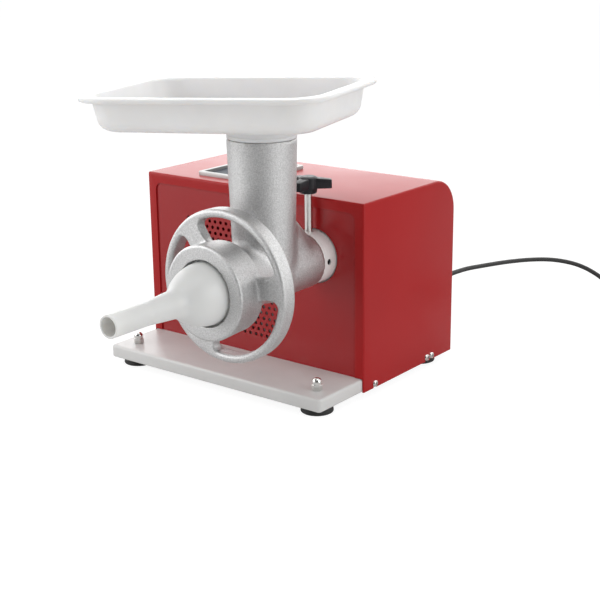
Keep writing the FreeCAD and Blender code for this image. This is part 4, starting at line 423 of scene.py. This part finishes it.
KEPT_FINISH = {"red_enamel": RED, "white_plastic": TRAY_WHITE, "cast_metal": CAST, "black_rubber": RUBBER,
               "black_plastic": KNOB_BLACK, "button_red": BUTTON_RED, "bright_steel": BRIGHT, "steel": STEEL,
               "grey_face": PANEL_GREY, "gearbox_alloy": ALLOY, "bronze": BRONZE, "copper_wire": COPPER,
               "seal_rubber": RUBBER}
# The front panel takes the darker red enamel, which paints in the shade on it.
OWN_FINISH = {"front_panel": PANEL_RED_PAINTED_SHADE, "grub_screw": BLACKED}


def finish_kept_nodes():
    """Give every CAD node the finish of its slot; pieces made below stand for some of them."""
    for name, node in frame["nodes"].items():
        node.data.materials.clear()
        node.data.materials.append(OWN_FINISH.get(name, KEPT_FINISH[SLOT_OF[name]]))


# Casing, board and feet

SHEET = 1.5
LIP = 11.0
LIP_CORNER = 8.0
REAR_ROUND = 36.0
FOLD_ROUND = 2.0


def casing_cover():
    """One bent sheet: sides, top and rear, with a lip turned in round the open front."""
    size = (cover_high - cover_low) / MM
    bm = bmesh.new()
    verts = block(bm, size, (cover_low + cover_high) / 2)
    rear_top = [e for e in edges_between(bm, verts, lambda e: runs_along(e, 0))
                if all(v.co.y > DATUM.y + 0.1 and v.co.z > 0.1 for v in e.verts)]
    round_edges(bm, rear_top, REAR_ROUND, 14)
    bm.faces.ensure_lookup_table()
    floor = [f for f in bm.faces if f.normal.z < -0.9]
    bmesh.ops.delete(bm, geom=floor, context="FACES_ONLY")
    front = [f for f in bm.faces if f.normal.y < -0.9]
    bmesh.ops.inset_region(bm, faces=front, thickness=LIP * MM, use_even_offset=True, use_boundary=False)
    top = cover_high.z - 1.5 * LIP * MM
    corners = [v for v in front[0].verts if v.co.z > top]
    bmesh.ops.bevel(bm, geom=corners, offset=LIP_CORNER * MM, segments=6, profile=0.5, affect="VERTICES",
                    material=-1)
    mouth = max((f for f in bm.faces if f.normal.y < -0.9), key=lambda f: f.calc_area())
    bmesh.ops.delete(bm, geom=[mouth], context="FACES_ONLY")
    round_edges(bm, sharp_edges(bm, 60), FOLD_ROUND, 5)
    obj = new_object(bm, "casing_cover_shell")
    wall = obj.modifiers.new("wall", "SOLIDIFY")
    wall.thickness = SHEET * MM
    wall.offset = -1
    settle(obj)
    carve(obj, cover_cutters(), "cover_cutters")
    return dress(obj, "base", RED, "casing_cover")


SCREW_PLACES = [(side, along) for side in (-1, 1) for along in (20.5, 118.4, 127.6)]
SCREW_Z = 12.5
SCREW_SLOT = 4.8
SLOT_HEIGHT = 14.0
PLAY = 0.4
CUT_REACH = 6.0
CASING_HALF = (cover_high.x - cover_low.x) / 2 / MM


def cover_cutters():
    """Slots for the side screws, openings for the switch, button and cord, and the step round the board."""
    bm = bmesh.new()
    low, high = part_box("switch_housing")
    opening = (high - low) / MM
    switch = Vector((*middle_of("switch_housing").xy, cover_high.z))
    block(bm, (opening.x + PLAY, opening.y + PLAY, 2 * CUT_REACH), switch)
    low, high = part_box("button_socket")
    radius = (high.x - low.x + PLAY * MM) / 2 / MM
    button = Vector((*middle_of("button_socket").xy, cover_high.z))
    lathe(bm, rod(radius, -CUT_REACH, CUT_REACH), button, UPRIGHT, 48)
    for side, along in SCREW_PLACES:
        middle = SCREW_Z + (SCREW_SLOT - SLOT_HEIGHT) / 2
        verts = block(bm, (8, SCREW_SLOT, SLOT_HEIGHT), spot(side * CASING_HALF, along, middle))
        crown = [e for e in edges_between(bm, verts, lambda e: runs_along(e, 0))
                 if all(v.co.z > (SCREW_Z + 1) * MM for v in e.verts)]
        round_edges(bm, crown, SCREW_SLOT / 2 - 0.05, 6)
    lathe(bm, rod(8.05, -CUT_REACH, CUT_REACH), GLAND, REARWARD, 40)
    board_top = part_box("base_plate")[1].z / MM
    block(bm, (2 * (CASING_HALF - SHEET), 8, 2 * (board_top + PLAY)), spot(0, 0, 0))
    return bm


def base_board():
    """The white board under everything, with soft corners and edges."""
    low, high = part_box("base_plate")
    bm = bmesh.new()
    verts = block(bm, (high - low) / MM, (low + high) / 2)
    round_edges(bm, edges_between(bm, verts, lambda e: runs_along(e, 2)), 4.0, 6)
    round_edges(bm, sharp_edges(bm, 60), 2.6, 5)
    obj = new_object(bm, "board")
    return dress(obj, "base", BOARD_WHITE, "base_plate")


FOOT_RADIUS = 17.0


def foot_spots():
    """The middles of the four feet, on the table."""
    low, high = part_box("rubber_feet")
    inset = FOOT_RADIUS * MM
    across = (low.x + inset, high.x - inset)
    along = (low.y + inset, high.y - inset)
    return [Vector((x, y, 0)) for x in across for y in along]


def rubber_feet():
    """Tapered pads with a bolt well from below."""
    bm = bmesh.new()
    outline = softened([(7, 4), (7, 0), (16.9, 0), (15.4, 7.9), (3.4, 7.9)], [0, 0.6, 1.4, 0.8, 0])
    for foot in foot_spots():
        lathe(bm, outline, foot, UPRIGHT, 64)
        lathe(bm, [(7, 4), (3.4, 4), (3.4, 7.9)], foot, UPRIGHT, 64)
    return dress(new_object(bm, "feet"), "base", RUBBER, "rubber_feet")


def dome_nuts():
    """A soft-edged hexagon and a dome on each foot bolt."""
    bm = bmesh.new()
    board_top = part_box("base_plate")[1].z
    neck_top = 8.2
    dome_radius = 4.75
    hexagon_radius = 5.75 * MM
    hexagon_height = 6.2 * MM
    dome = [(4.85, 6.0), (dome_radius, neck_top)]
    for degrees in range(9, 91, 9):
        turn = math.radians(degrees)
        dome.append((dome_radius * math.cos(turn), neck_top + dome_radius * math.sin(turn)))
    for foot in foot_spots():
        base = Vector((foot.x, foot.y, board_top))
        before = set(bm.verts)
        bmesh.ops.create_cone(bm, cap_ends=True, segments=6, radius1=hexagon_radius, radius2=hexagon_radius,
                              depth=hexagon_height,
                              matrix=Matrix.Translation(base + Vector((0, 0, hexagon_height / 2))))
        made = [v for v in bm.verts if v not in before]
        round_edges(bm, edges_between(bm, made, lambda e: True), 0.45, 3)
        lathe(bm, dome, base, UPRIGHT, 48)
    return dress(new_object(bm, "dome_nuts"), "base", BRIGHT, "foot_dome_nuts", degrees=30)


def cover_screws():
    """Pan heads with a cross recess, one in each slot of the cover's sides."""
    bm = bmesh.new()
    bars = (bmesh.new(), bmesh.new())
    head = softened([(0, 2.15), (3.0, 1.9), (3.75, 0.0), (2.0, 0.0), (2.0, -13.5), (0, -13.5)],
                    [0, 1.2, 0.2, 0, 0.3, 0])
    for side, along in SCREW_PLACES:
        turn = Matrix.Rotation(math.radians(90 * side), 4, "Y")
        seat = spot(side * CASING_HALF, along, SCREW_Z)
        lathe(bm, head, seat, turn, 40)
        for bar, degrees in zip(bars, (45, 135)):
            cross = turn @ Matrix.Rotation(math.radians(degrees), 4, "Z")
            block(bar, (4.0, 0.9, 2.2), seat + turn @ Vector((0, 0, 2.2 * MM)), cross)
    obj = new_object(bm, "cover_screws")
    for bar in bars:
        carve(obj, bar, "screw_recess")
    return dress(obj, "base", BRIGHT, "casing_screws", degrees=32)


# Switch panel

def switch_bezel():
    """A raised bright frame round the switch face."""
    low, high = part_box("switch_bezel")
    size = (high - low) / MM
    border = 5.0
    bm = bmesh.new()
    verts = block(bm, size, (low + high) / 2)
    round_edges(bm, edges_between(bm, verts, lambda e: runs_along(e, 2)), 4.0, 5)
    top_edges = [e for e in sharp_edges(bm, 60) if all(v.co.z > high.z - 0.1 * MM for v in e.verts)]
    round_edges(bm, top_edges, 0.8, 3)
    obj = new_object(bm, "bezel")
    window = bmesh.new()
    hole = block(window, (size.x - 2 * border, size.y - 2 * border, 3 * size.z), (low + high) / 2)
    round_edges(window, edges_between(window, hole, lambda e: runs_along(e, 2)), 1.2, 3)
    carve(obj, window, "bezel_window")
    return dress(obj, "base", FRAME_GREY, "switch_bezel", degrees=30)


def switch_rocker():
    """A dished rocker with soft edges."""
    centre = middle_of("switch_rocker")
    pivot_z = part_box("switch_face")[1].z
    half_length = 13.0
    dish = 2.4
    bm = bmesh.new()
    block(bm, (18.0, 2 * half_length, 5.2), Vector((centre.x, centre.y, pivot_z + 0.9 * MM)))
    long_edges = [e for e in bm.edges if runs_along(e, 1)]
    bmesh.ops.subdivide_edges(bm, edges=long_edges, cuts=7, use_grid_fill=True)
    for v in bm.verts:
        if v.co.z > pivot_z:
            share = abs(v.co.y - centre.y) / (half_length * MM)
            v.co.z -= dish * MM * (1 - share ** 2)
    round_edges(bm, sharp_edges(bm, 60), 0.7, 3)
    lathe(bm, rod(1.5, -9.6, 9.6), Vector((centre.x, centre.y, pivot_z)), RIGHTWARD, 24)
    return dress(new_object(bm, "rocker"), "rocker", KNOB_BLACK, "switch_rocker")


def reset_button():
    """A round button with a shallow dish."""
    low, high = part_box("reset_button")
    height = (high.z - low.z) / MM
    centre = Vector((middle_of("reset_button").x, middle_of("reset_button").y, low.z))
    bm = bmesh.new()
    outline = softened([(0, 0), (6, 0), (6, height - 0.2), (3.5, height), (0, height - 0.5)],
                       [0, 0.2, 1.0, 1.5, 0])
    lathe(bm, outline, centre, UPRIGHT, 56)
    return dress(new_object(bm, "button"), "button", BUTTON_RED, "reset_button")


# Collar and clamp

STUD_AHEAD = 7.5
STUD_HOLE = 4.06


def output_collar():
    """The pale ring that holds the grinder's tail, with a grub-screw hole and the stud's hole."""
    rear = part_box("output_collar")[1].y
    bm = bmesh.new()
    outline = softened([(22, 0), (39, 0), (39, 4), (27, 4), (27, 29), (22, 29)],
                       [0.3, 0.5, 0.5, 0.3, 0.8, 0.6], True)
    lathe(bm, outline, Vector((BARREL.x + DATUM.x, rear, BARREL.z)), FORWARD, 120, closed=True)
    obj = new_object(bm, "collar")
    holes = bmesh.new()
    lathe(holes, rod(STUD_HOLE, 0, 40), spot(BARREL_X, -STUD_AHEAD, BARREL_Z + 12), UPRIGHT, 40)
    lathe(holes, rod(3.05, 0, 40), spot(BARREL_X + 12, -STUD_AHEAD - 2, BARREL_Z), RIGHTWARD, 40)
    carve(obj, holes, "collar_holes")
    return dress(obj, "base", COLLAR, "output_collar", degrees=30)


def clamp_stud():
    """A plain bright stud with chamfered ends."""
    low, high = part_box("clamp_stud")
    length = (high.z - low.z) / MM
    centre = Vector((middle_of("clamp_stud").x, middle_of("clamp_stud").y, low.z))
    bm = bmesh.new()
    outline = [(0, 0), (3.2, 0), (4, 0.8), (4, length - 0.8), (3.2, length), (0, length)]
    lathe(bm, outline, centre, UPRIGHT, 56)
    return dress(new_object(bm, "stud"), "clamp", BRIGHT, "clamp_stud", degrees=25)


KNOB_ARMS = (38.0, 158.0, 278.0)


def clamp_knob():
    """A hub and three thick arms whose tops slope away from it."""
    low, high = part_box("clamp_knob")
    stud = middle_of("clamp_stud")
    height = (high.z - low.z) / MM
    foot = Vector((stud.x, stud.y, low.z))
    bm = bmesh.new()
    for degrees in KNOB_ARMS:
        turn = Matrix.Rotation(math.radians(degrees), 4, "Z")
        place = foot + turn @ Vector((11.0, 0, 10.7)) * MM
        arm = block(bm, (24.6, 12.4, 11.6), place, turn)
        for v in arm:
            local = turn.inverted() @ (v.co - place)
            if local.x > 0:
                local.y *= 0.68
                local.z -= 2.8 * MM if local.z > 0 else 0
            v.co = place + turn @ local
        round_edges(bm, edges_between(bm, arm, lambda e: True), 1.2, 3)
    hub = softened([(STUD_HOLE, 0), (8.2, 0), (9.4, 5.2), (9.6, height - 1.4), (6.5, height), (0, height)],
                   [0.3, 0.8, 1.0, 1.6, 2.0, 0])
    lathe(bm, hub, foot, UPRIGHT, 64)
    lathe(bm, [(STUD_HOLE, 0), (STUD_HOLE, 12.3), (0, 12.3)], foot, UPRIGHT, 64)
    return dress(new_object(bm, "knob"), "knob", KNOB_BLACK, "clamp_knob", degrees=28)


# Grinder head

CAST_VOXEL = 1.5
NUT_VOXEL = 1.0
COLUMN_Y = -78.0


def is_hollow(vert):
    """True where the skin round a vertex lies above it, as in a crotch."""
    around = [edge.other_vert(vert).co for edge in vert.link_edges]
    middle = sum(around, Vector()) / len(around)
    return (middle - vert.co).dot(vert.normal) > -0.004 * MM


def relax(bm, verts):
    """Draw vertices half-way to the middle of their neighbours."""
    bmesh.ops.smooth_vert(bm, verts=verts, factor=0.5, use_axis_x=True, use_axis_y=True, use_axis_z=True)


def recast(bm, name, voxel, passes, near):
    """Rebuild a solid as one even skin and let its crotches flow together, as in a casting."""
    obj = new_object(bm, name, recalculate=False)
    skin = obj.modifiers.new("skin", "REMESH")
    skin.mode = "VOXEL"
    skin.voxel_size = voxel * MM
    settle(obj)
    bm = bmesh.new()
    bm.from_mesh(obj.data)
    soft = [v for v in bm.verts if near(v.co)]
    for _ in range(passes):
        bm.normal_update()
        hollows = [v for v in soft if is_hollow(v)]
        for _ in range(4):
            relax(bm, hollows)
    relax(bm, bm.verts)
    bm.to_mesh(obj.data)
    bm.free()
    return obj


def grinder_body():
    """The casting: a feed tube that flows into a barrel."""
    column = spot(BARREL_X, COLUMN_Y, BARREL_Z)

    def crotch(place):
        """True near the join of tube and barrel, outside their bores."""
        away = place - column
        outside = math.hypot(away.x, away.y) > 26.5 * MM and math.hypot(away.x, away.z) > 26.5 * MM
        return outside and away.length < 82 * MM and away.z > -22 * MM

    obj = recast(node_copy("grinder_body"), "casting", CAST_VOXEL, 14, crotch)
    return dress(obj, "grinder", CAST, "grinder_body", degrees=60)


def ring_nut():
    """Hub, hand rim and lugs of one casting."""
    axis = BARREL + DATUM

    def lugs(place):
        """True between the hub and the hand rim."""
        reach = math.hypot(place.x - axis.x, place.z - axis.z)
        return 43.5 * MM < reach < 66.5 * MM

    obj = recast(node_copy("ring_nut"), "hand_nut", NUT_VOXEL, 3, lugs)
    return dress(obj, "nut", CAST, "ring_nut", degrees=60)


def stuffing_funnel():
    """A white funnel: flange, round shoulder and tapered tube."""
    outer = [(39, 152.6), (39, 157.2), (29.5, 157.2), (29.5, 165)]
    shoulder = [(29.3, 169), (28.2, 175), (26.0, 182), (22.8, 189), (19.0, 195), (15.9, 199.5), (13.9, 203)]
    tube = [(12.9, 208), (10.5, 240), (10.5, 285)]
    bm = bmesh.new()
    outline = softened(outer, [0.5, 0.8, 0.6, 0]) + shoulder + softened(tube, [0, 20, 0])[:-1]
    outline += softened([(10.5, 262), (10.5, 285), (8.5, 285), (8.5, 262)], [0, 0.7, 0.7, 0])[1:-1]
    inner = [(8.5, 240), (11.2, 205), (13.6, 200), (20.8, 189), (26.2, 175), (27.5, 165), (27.5, 152.6)]
    lathe(bm, outline + inner, spot(BARREL_X, 0, BARREL_Z), FORWARD, 112, closed=True)
    return dress(new_object(bm, "funnel"), "funnel", FUNNEL_WHITE, "stuffing_funnel")


# Feed tray

TRAY_TURN = 15.0
TRAY_TILT = 2.25
TRAY_OFFSET = 31.4
TRAY_LENGTH = 249.0
TRAY_WIDTH = 176.0
TRAY_CORNER = 34.0
TRAY_BRIM = 9.5
TRAY_BRIM_THICKNESS = 5.0
TRAY_DEPTH = 34.0
TRAY_WALL = 3.0
TRAY_SEAT = 286.0
THROAT_RADIUS = 24.8
THROAT_STEPS = 72
TRAY_CORNER_DRAW = 0.55
TRAY_CORNER_STEPS = 10


def tray_ring(bm, inset, up):
    """Points of the brim's outline drawn in by an inset, at one height above the tray's foot."""
    half_length, half_width = TRAY_LENGTH / 2 - inset, TRAY_WIDTH / 2 - inset
    corners = [(half_length, half_width), (-half_length, half_width),
               (-half_length, -half_width), (half_length, -half_width)]
    radius = TRAY_CORNER - TRAY_CORNER_DRAW * inset
    outline = softened(corners, [radius] * 4, True, TRAY_CORNER_STEPS)
    return [bm.verts.new((x * MM, y * MM, up * MM)) for x, y in outline]


def throat_ring(bm, up):
    """Points round the hole over the feed tube."""
    ring = []
    for n in range(THROAT_STEPS):
        angle = 2 * math.pi * n / THROAT_STEPS
        across = TRAY_OFFSET + THROAT_RADIUS * math.cos(angle)
        along = THROAT_RADIUS * math.sin(angle)
        ring.append(bm.verts.new((across * MM, along * MM, up * MM)))
    return ring


def skin_between(bm, low, high):
    """A band of faces between two rings of as many points."""
    for n in range(len(low)):
        bm.faces.new((low[n - 1], low[n], high[n], high[n - 1]))


def floor_between(bm, rim, hole):
    """A flat floor between a ring and the hole in it."""
    edges = []
    for ring in (rim, hole):
        for n in range(len(ring)):
            pair = (ring[n - 1], ring[n])
            edges.append(bm.edges.get(pair) or bm.edges.new(pair))
    bmesh.ops.triangle_fill(bm, use_beauty=True, edges=edges)


def feed_tray():
    """A tray of one soft moulding: floor, leaning walls and a turned-out brim."""
    brim_low = TRAY_DEPTH - TRAY_BRIM_THICKNESS
    outside = [(25.6, 0.0), (22.4, 0.4), (19.4, 1.7), (16.8, 3.7), (14.9, 6.3), (13.7, 9.4), (13.2, 12.6),
               (TRAY_BRIM + 1.3, brim_low - 2.6), (TRAY_BRIM + 0.8, brim_low - 0.8),
               (TRAY_BRIM - 0.8, brim_low), (1.8, brim_low), (0.6, brim_low + 0.5), (0.05, brim_low + 1.8)]
    inside = [(0.05, TRAY_DEPTH - 1.8), (0.6, TRAY_DEPTH - 0.5), (1.8, TRAY_DEPTH), (TRAY_BRIM, TRAY_DEPTH),
              (TRAY_BRIM + 2.2, TRAY_DEPTH - 0.6), (TRAY_BRIM + 3.4, TRAY_DEPTH - 2.4), (15.2, 14.0),
              (15.7, 10.8), (17.2, 7.4), (20.0, 4.6), (23.2, 3.3), (26.0, TRAY_WALL)]
    bm = bmesh.new()
    rings = [tray_ring(bm, *level) for level in outside + inside]
    for low, high in zip(rings, rings[1:]):
        skin_between(bm, low, high)
    under, over = throat_ring(bm, 0.0), throat_ring(bm, TRAY_WALL)
    skin_between(bm, over, under)
    floor_between(bm, rings[0], under)
    floor_between(bm, rings[-1], over)
    turn = Matrix.Rotation(math.radians(TRAY_TURN), 4, "Z")
    lean = Matrix.Rotation(math.radians(-TRAY_TILT), 4, "Y")
    place = Matrix.Translation(spot(BARREL_X, COLUMN_Y, TRAY_SEAT)) @ turn @ lean
    bmesh.ops.transform(bm, matrix=place @ Matrix.Translation((-TRAY_OFFSET * MM, 0, 0)), verts=bm.verts)
    return dress(new_object(bm, "tray"), "tray", TRAY_WHITE, "feed_tray", degrees=40)


def tray_collar():
    """The skirt on the feed tube with a bead at its lower edge, and the neck inside the tube."""
    outline = softened([(24.5, 261), (27.2, 261), (27.2, 273.3), (33.2, 273.3), (33.2, 276.4), (32.4, 277.4),
                        (32.2, 287), (24.5, 287)], [0.4, 1.0, 0.2, 0.9, 0.9, 0.6, 0, 0], True)
    bm = bmesh.new()
    lathe(bm, outline, spot(BARREL_X, COLUMN_Y, 0), UPRIGHT, 112, closed=True)
    return dress(new_object(bm, "tray_skirt"), "tray", TRAY_WHITE, "tray_collar")


# Mains cord

GLAND = middle_of("cord_gland")
GLAND.y = cover_high.y
GLAND_RIBS = 6
CORD_DIAMETER = 5.2
CORD_ROUTE = [
    (120.0, 204.0, 82.0), (120.4, 233.0, 81.4), (125.0, 264.0, 78.8), (134.0, 311.0, 75.2),
    (147.0, 354.0, 70.8), (162.0, 383.0, 66.2), (182.0, 407.0, 57.6), (203.0, 420.0, 43.8),
    (220.0, 427.5, 27.5), (236.0, 432.0, 13.2), (253.0, 434.5, 4.9), (272.0, 434.8, 3.6),
    (289.0, 432.6, 3.6)]
COIL_OUTER = 37.7
COIL_GAP = 0.6
COIL_TURNS_IN = 3
COIL_CLIMB = 0.5
COIL_TURNS_OUT = 2.5
COIL_TAIL = 34.0
POINTS_PER_TURN = 16


def cord_gland():
    """A ribbed rubber tail that tapers on to the cord."""
    outline = [(0, -4.5), (10.5, -4.5), (10.5, -1.5), (8, -1.5), (8, 0), (10.5, 0), (10.4, 2.4), (9.6, 3.0),
               (7.0, 3.0)]
    for n in range(GLAND_RIBS):
        start = 5.0 + n * 4.4
        radius = 6.9 - 0.42 * n
        groove = radius - 1.2
        outline += [(radius, start), (radius, start + 2.6), (groove, start + 2.9), (groove, start + 4.1)]
    outline += [(4.3, 32.0), (4.1, 34.4), (3.6, 35.0), (0, 35.0)]
    bm = bmesh.new()
    lathe(bm, outline, GLAND, REARWARD, 56)
    return dress(new_object(bm, "gland"), "base", RUBBER, "cord_gland", degrees=35)


def coil_points():
    """Turns that wind in on the floor, climb, and wind out on top, to where the plug begins."""
    before, last = (Vector(point) for point in CORD_ROUTE[-2:])
    way = (last - before).normalized()
    right = Vector((way.y, -way.x, 0))
    first = last + way * CORD_DIAMETER
    middle = first + right * COIL_OUTER
    rate = CORD_DIAMETER + COIL_GAP
    inner = COIL_OUTER - rate * COIL_TURNS_IN
    begin = math.atan2(first.y - middle.y, first.x - middle.x)
    total = COIL_TURNS_IN + COIL_CLIMB + COIL_TURNS_OUT
    points = []
    for n in range(int(total * POINTS_PER_TURN) + 1):
        turns = n / POINTS_PER_TURN
        climb = min(max((turns - COIL_TURNS_IN) / COIL_CLIMB, 0), 1)
        if turns <= COIL_TURNS_IN:
            radius = COIL_OUTER - rate * turns
        elif climb < 1:
            radius = inner - rate * COIL_CLIMB * climb * (1 - climb)
        else:
            radius = inner + rate * (turns - COIL_TURNS_IN - COIL_CLIMB)
        angle = begin - 2 * math.pi * turns
        up = first.z + rate * climb * climb * (3 - 2 * climb)
        points.append(Vector((middle.x + radius * math.cos(angle), middle.y + radius * math.sin(angle), up)))
    turn_end = begin - 2 * math.pi * total
    heading = Vector((math.sin(turn_end), -math.cos(turn_end), 0))
    points.append(points[-1] + heading * COIL_TAIL * 0.5)
    points.append(points[-2] + heading * COIL_TAIL)
    return points


def mains_cord():
    """The cord as one smooth line, from the gland to the plug."""
    points = [Vector(point) for point in CORD_ROUTE] + coil_points()
    curve = bpy.data.curves.new("mains_cord", "CURVE")
    curve.dimensions = "3D"
    spline = curve.splines.new("NURBS")
    spline.points.add(len(points) - 1)
    for control, point in zip(spline.points, points):
        control.co = (*spot(*point), 1)
    spline.order_u = 3
    spline.use_endpoint_u = True
    spline.resolution_u = 6
    curve.bevel_depth = CORD_DIAMETER / 2 * MM
    curve.bevel_resolution = 4
    curve.use_fill_caps = True
    cord = bpy.data.objects.new("mains_cord", curve)
    bpy.context.scene.collection.objects.link(cord)
    curve.materials.append(RUBBER)
    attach(cord, "base")
    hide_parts("power_cord", "cord_coil")
    return cord


# Camera, floor and light

PHOTO_WIDTH = 600
CAMERA = {"focal_px": 1271.71, "azimuth": 37.98, "elevation": 16.89, "roll": -0.68, "distance": 1382.08,
          "slide": (14.99, -51.70), "target": (0.0, 60.0, 120.0)}


def camera_axes():
    """The camera's directions to the right, upwards and backwards."""
    around, up = math.radians(CAMERA["azimuth"]), math.radians(CAMERA["elevation"])
    back = Vector((math.sin(around) * math.cos(up), -math.cos(around) * math.cos(up), math.sin(up)))
    right = Vector((math.cos(around), math.sin(around), 0))
    above = back.cross(right)
    roll = math.radians(CAMERA["roll"])
    rolled_right = math.cos(roll) * right + math.sin(roll) * above
    rolled_above = math.cos(roll) * above - math.sin(roll) * right
    return rolled_right, rolled_above, back


def set_camera():
    """The camera that the photograph was fitted with."""
    right, above, back = camera_axes()
    slide = CAMERA["slide"]
    place = spot(*CAMERA["target"]) + (right * slide[0] + above * slide[1] + back * CAMERA["distance"]) * MM
    data = bpy.data.cameras.new("camera")
    data.sensor_fit = "HORIZONTAL"
    data.sensor_width = 36.0
    data.lens = CAMERA["focal_px"] / PHOTO_WIDTH * data.sensor_width
    data.clip_start = 0.05
    data.clip_end = 60
    camera = bpy.data.objects.new("camera", data)
    bpy.context.scene.collection.objects.link(camera)
    turn = Matrix((right, above, back)).transposed().to_4x4()
    camera.matrix_world = Matrix.Translation(place) @ turn
    bpy.context.scene.camera = camera


def seen_rays(tree):
    """Two outputs: one for rays from the camera or through glass, and one for rays off gloss."""
    rays = add(tree, "ShaderNodeLightPath")
    either = add(tree, "ShaderNodeMath", operation="MAXIMUM")
    tree.links.new(rays.outputs["Is Camera Ray"], either.inputs[0])
    tree.links.new(rays.outputs["Is Transmission Ray"], either.inputs[1])
    return either.outputs[0], rays.outputs["Is Glossy Ray"]


def white_floor():
    """A white floor that keeps a soft shadow."""
    bm = bmesh.new()
    bmesh.ops.create_grid(bm, x_segments=1, y_segments=1, size=12.0)
    floor = new_object(bm, "floor")
    material = bpy.data.materials.new("white_floor")
    material.use_nodes = True
    tree = material.node_tree
    tree.nodes.clear()
    seen, _ = seen_rays(tree)
    matte = add(tree, "ShaderNodeBsdfDiffuse", Color=(0.82, 0.82, 0.82, 1))
    shadow = add(tree, "ShaderNodeBsdfDiffuse", Color=(0.24, 0.24, 0.24, 1))
    glow = add(tree, "ShaderNodeEmission", Color=(1, 1, 1, 1), Strength=0.89)
    both = add(tree, "ShaderNodeAddShader")
    pick = add(tree, "ShaderNodeMixShader")
    out = add(tree, "ShaderNodeOutputMaterial")
    tree.links.new(shadow.outputs[0], both.inputs[0])
    tree.links.new(glow.outputs[0], both.inputs[1])
    tree.links.new(seen, pick.inputs["Fac"])
    tree.links.new(matte.outputs[0], pick.inputs[1])
    tree.links.new(both.outputs[0], pick.inputs[2])
    tree.links.new(pick.outputs[0], out.inputs["Surface"])
    floor.data.materials.append(material)


def tones(tree, source, stops):
    """A grey ramp through (position, level) stops."""
    node = add(tree, "ShaderNodeValToRGB")
    while len(node.color_ramp.elements) < len(stops):
        node.color_ramp.elements.new(1.0)
    for element, (position, level) in zip(node.color_ramp.elements, stops):
        element.position = position
        element.color = (level, level, level, 1)
    tree.links.new(source, node.inputs["Fac"])
    return node.outputs["Color"]


def studio_world():
    """A white studio that is dim behind the camera, so that metal shows a darker band."""
    world = bpy.data.worlds.new("studio")
    bpy.context.scene.world = world
    world.use_nodes = True
    tree = world.node_tree
    tree.nodes.clear()
    seen, glossy = seen_rays(tree)
    _, _, back = camera_axes()
    place = add(tree, "ShaderNodeTexCoord")
    facing = add(tree, "ShaderNodeVectorMath", operation="DOT_PRODUCT")
    facing.inputs[1].default_value = Vector((back.x, back.y, 0)).normalized()
    tree.links.new(place.outputs["Generated"], facing.inputs[0])
    halves = spread(tree, facing.outputs["Value"], 0.0, 1.0, -1.0, 1.0)
    dim = tones(tree, halves, [(0.0, 2.6), (0.22, 2.3), (0.36, 1.0), (0.70, 0.95), (0.90, 0.12), (1.0, 0.02)])
    level = add(tree, "ShaderNodeMix", data_type="FLOAT")
    tree.links.new(glossy, level.inputs["Factor"])
    level.inputs["A"].default_value = 0.48
    tree.links.new(dim, level.inputs["B"])
    strength = add(tree, "ShaderNodeMath", operation="MAXIMUM")
    tree.links.new(level.outputs["Result"], strength.inputs[0])
    tree.links.new(seen, strength.inputs[1])
    sky = add(tree, "ShaderNodeBackground", Color=(1, 1, 1, 1))
    out = add(tree, "ShaderNodeOutputWorld")
    tree.links.new(strength.outputs[0], sky.inputs["Strength"])
    tree.links.new(sky.outputs[0], out.inputs["Surface"])


def soft_lamp(name, place, aim, size, power):
    """A rectangular lamp that faces a point."""
    data = bpy.data.lights.new(name, "AREA")
    data.shape = "RECTANGLE"
    data.size, data.size_y = size
    data.energy = power
    lamp = bpy.data.objects.new(name, data)
    bpy.context.scene.collection.objects.link(lamp)
    lamp.location = place
    lamp.rotation_euler = (Vector(aim) - Vector(place)).to_track_quat("-Z", "Y").to_euler()


def light_studio():
    """One lamp above and one to each side."""
    aim = spot(40, 0, 150)
    soft_lamp("overhead", aim + Vector((0.0, 0.25, 1.5)), aim, (1.4, 1.4), 9)
    soft_lamp("left", aim + Vector((-1.3, -1.2, 0.6)), aim, (1.2, 1.4), 13)
    soft_lamp("right", aim + Vector((1.7, 0.1, 0.5)), aim, (0.9, 1.4), 9.5)


def build():
    """Make every piece, then the camera's surroundings."""
    finish_kept_nodes()
    set_camera()
    mains_cord()
    cord_gland()
    casing_cover()
    base_board()
    rubber_feet()
    dome_nuts()
    cover_screws()
    switch_bezel()
    switch_rocker()
    reset_button()
    output_collar()
    clamp_stud()
    clamp_knob()
    grinder_body()
    ring_nut()
    stuffing_funnel()
    feed_tray()
    tray_collar()
    white_floor()
    studio_world()
    light_studio()
    bpy.context.scene.view_settings.view_transform = "Standard"


build()
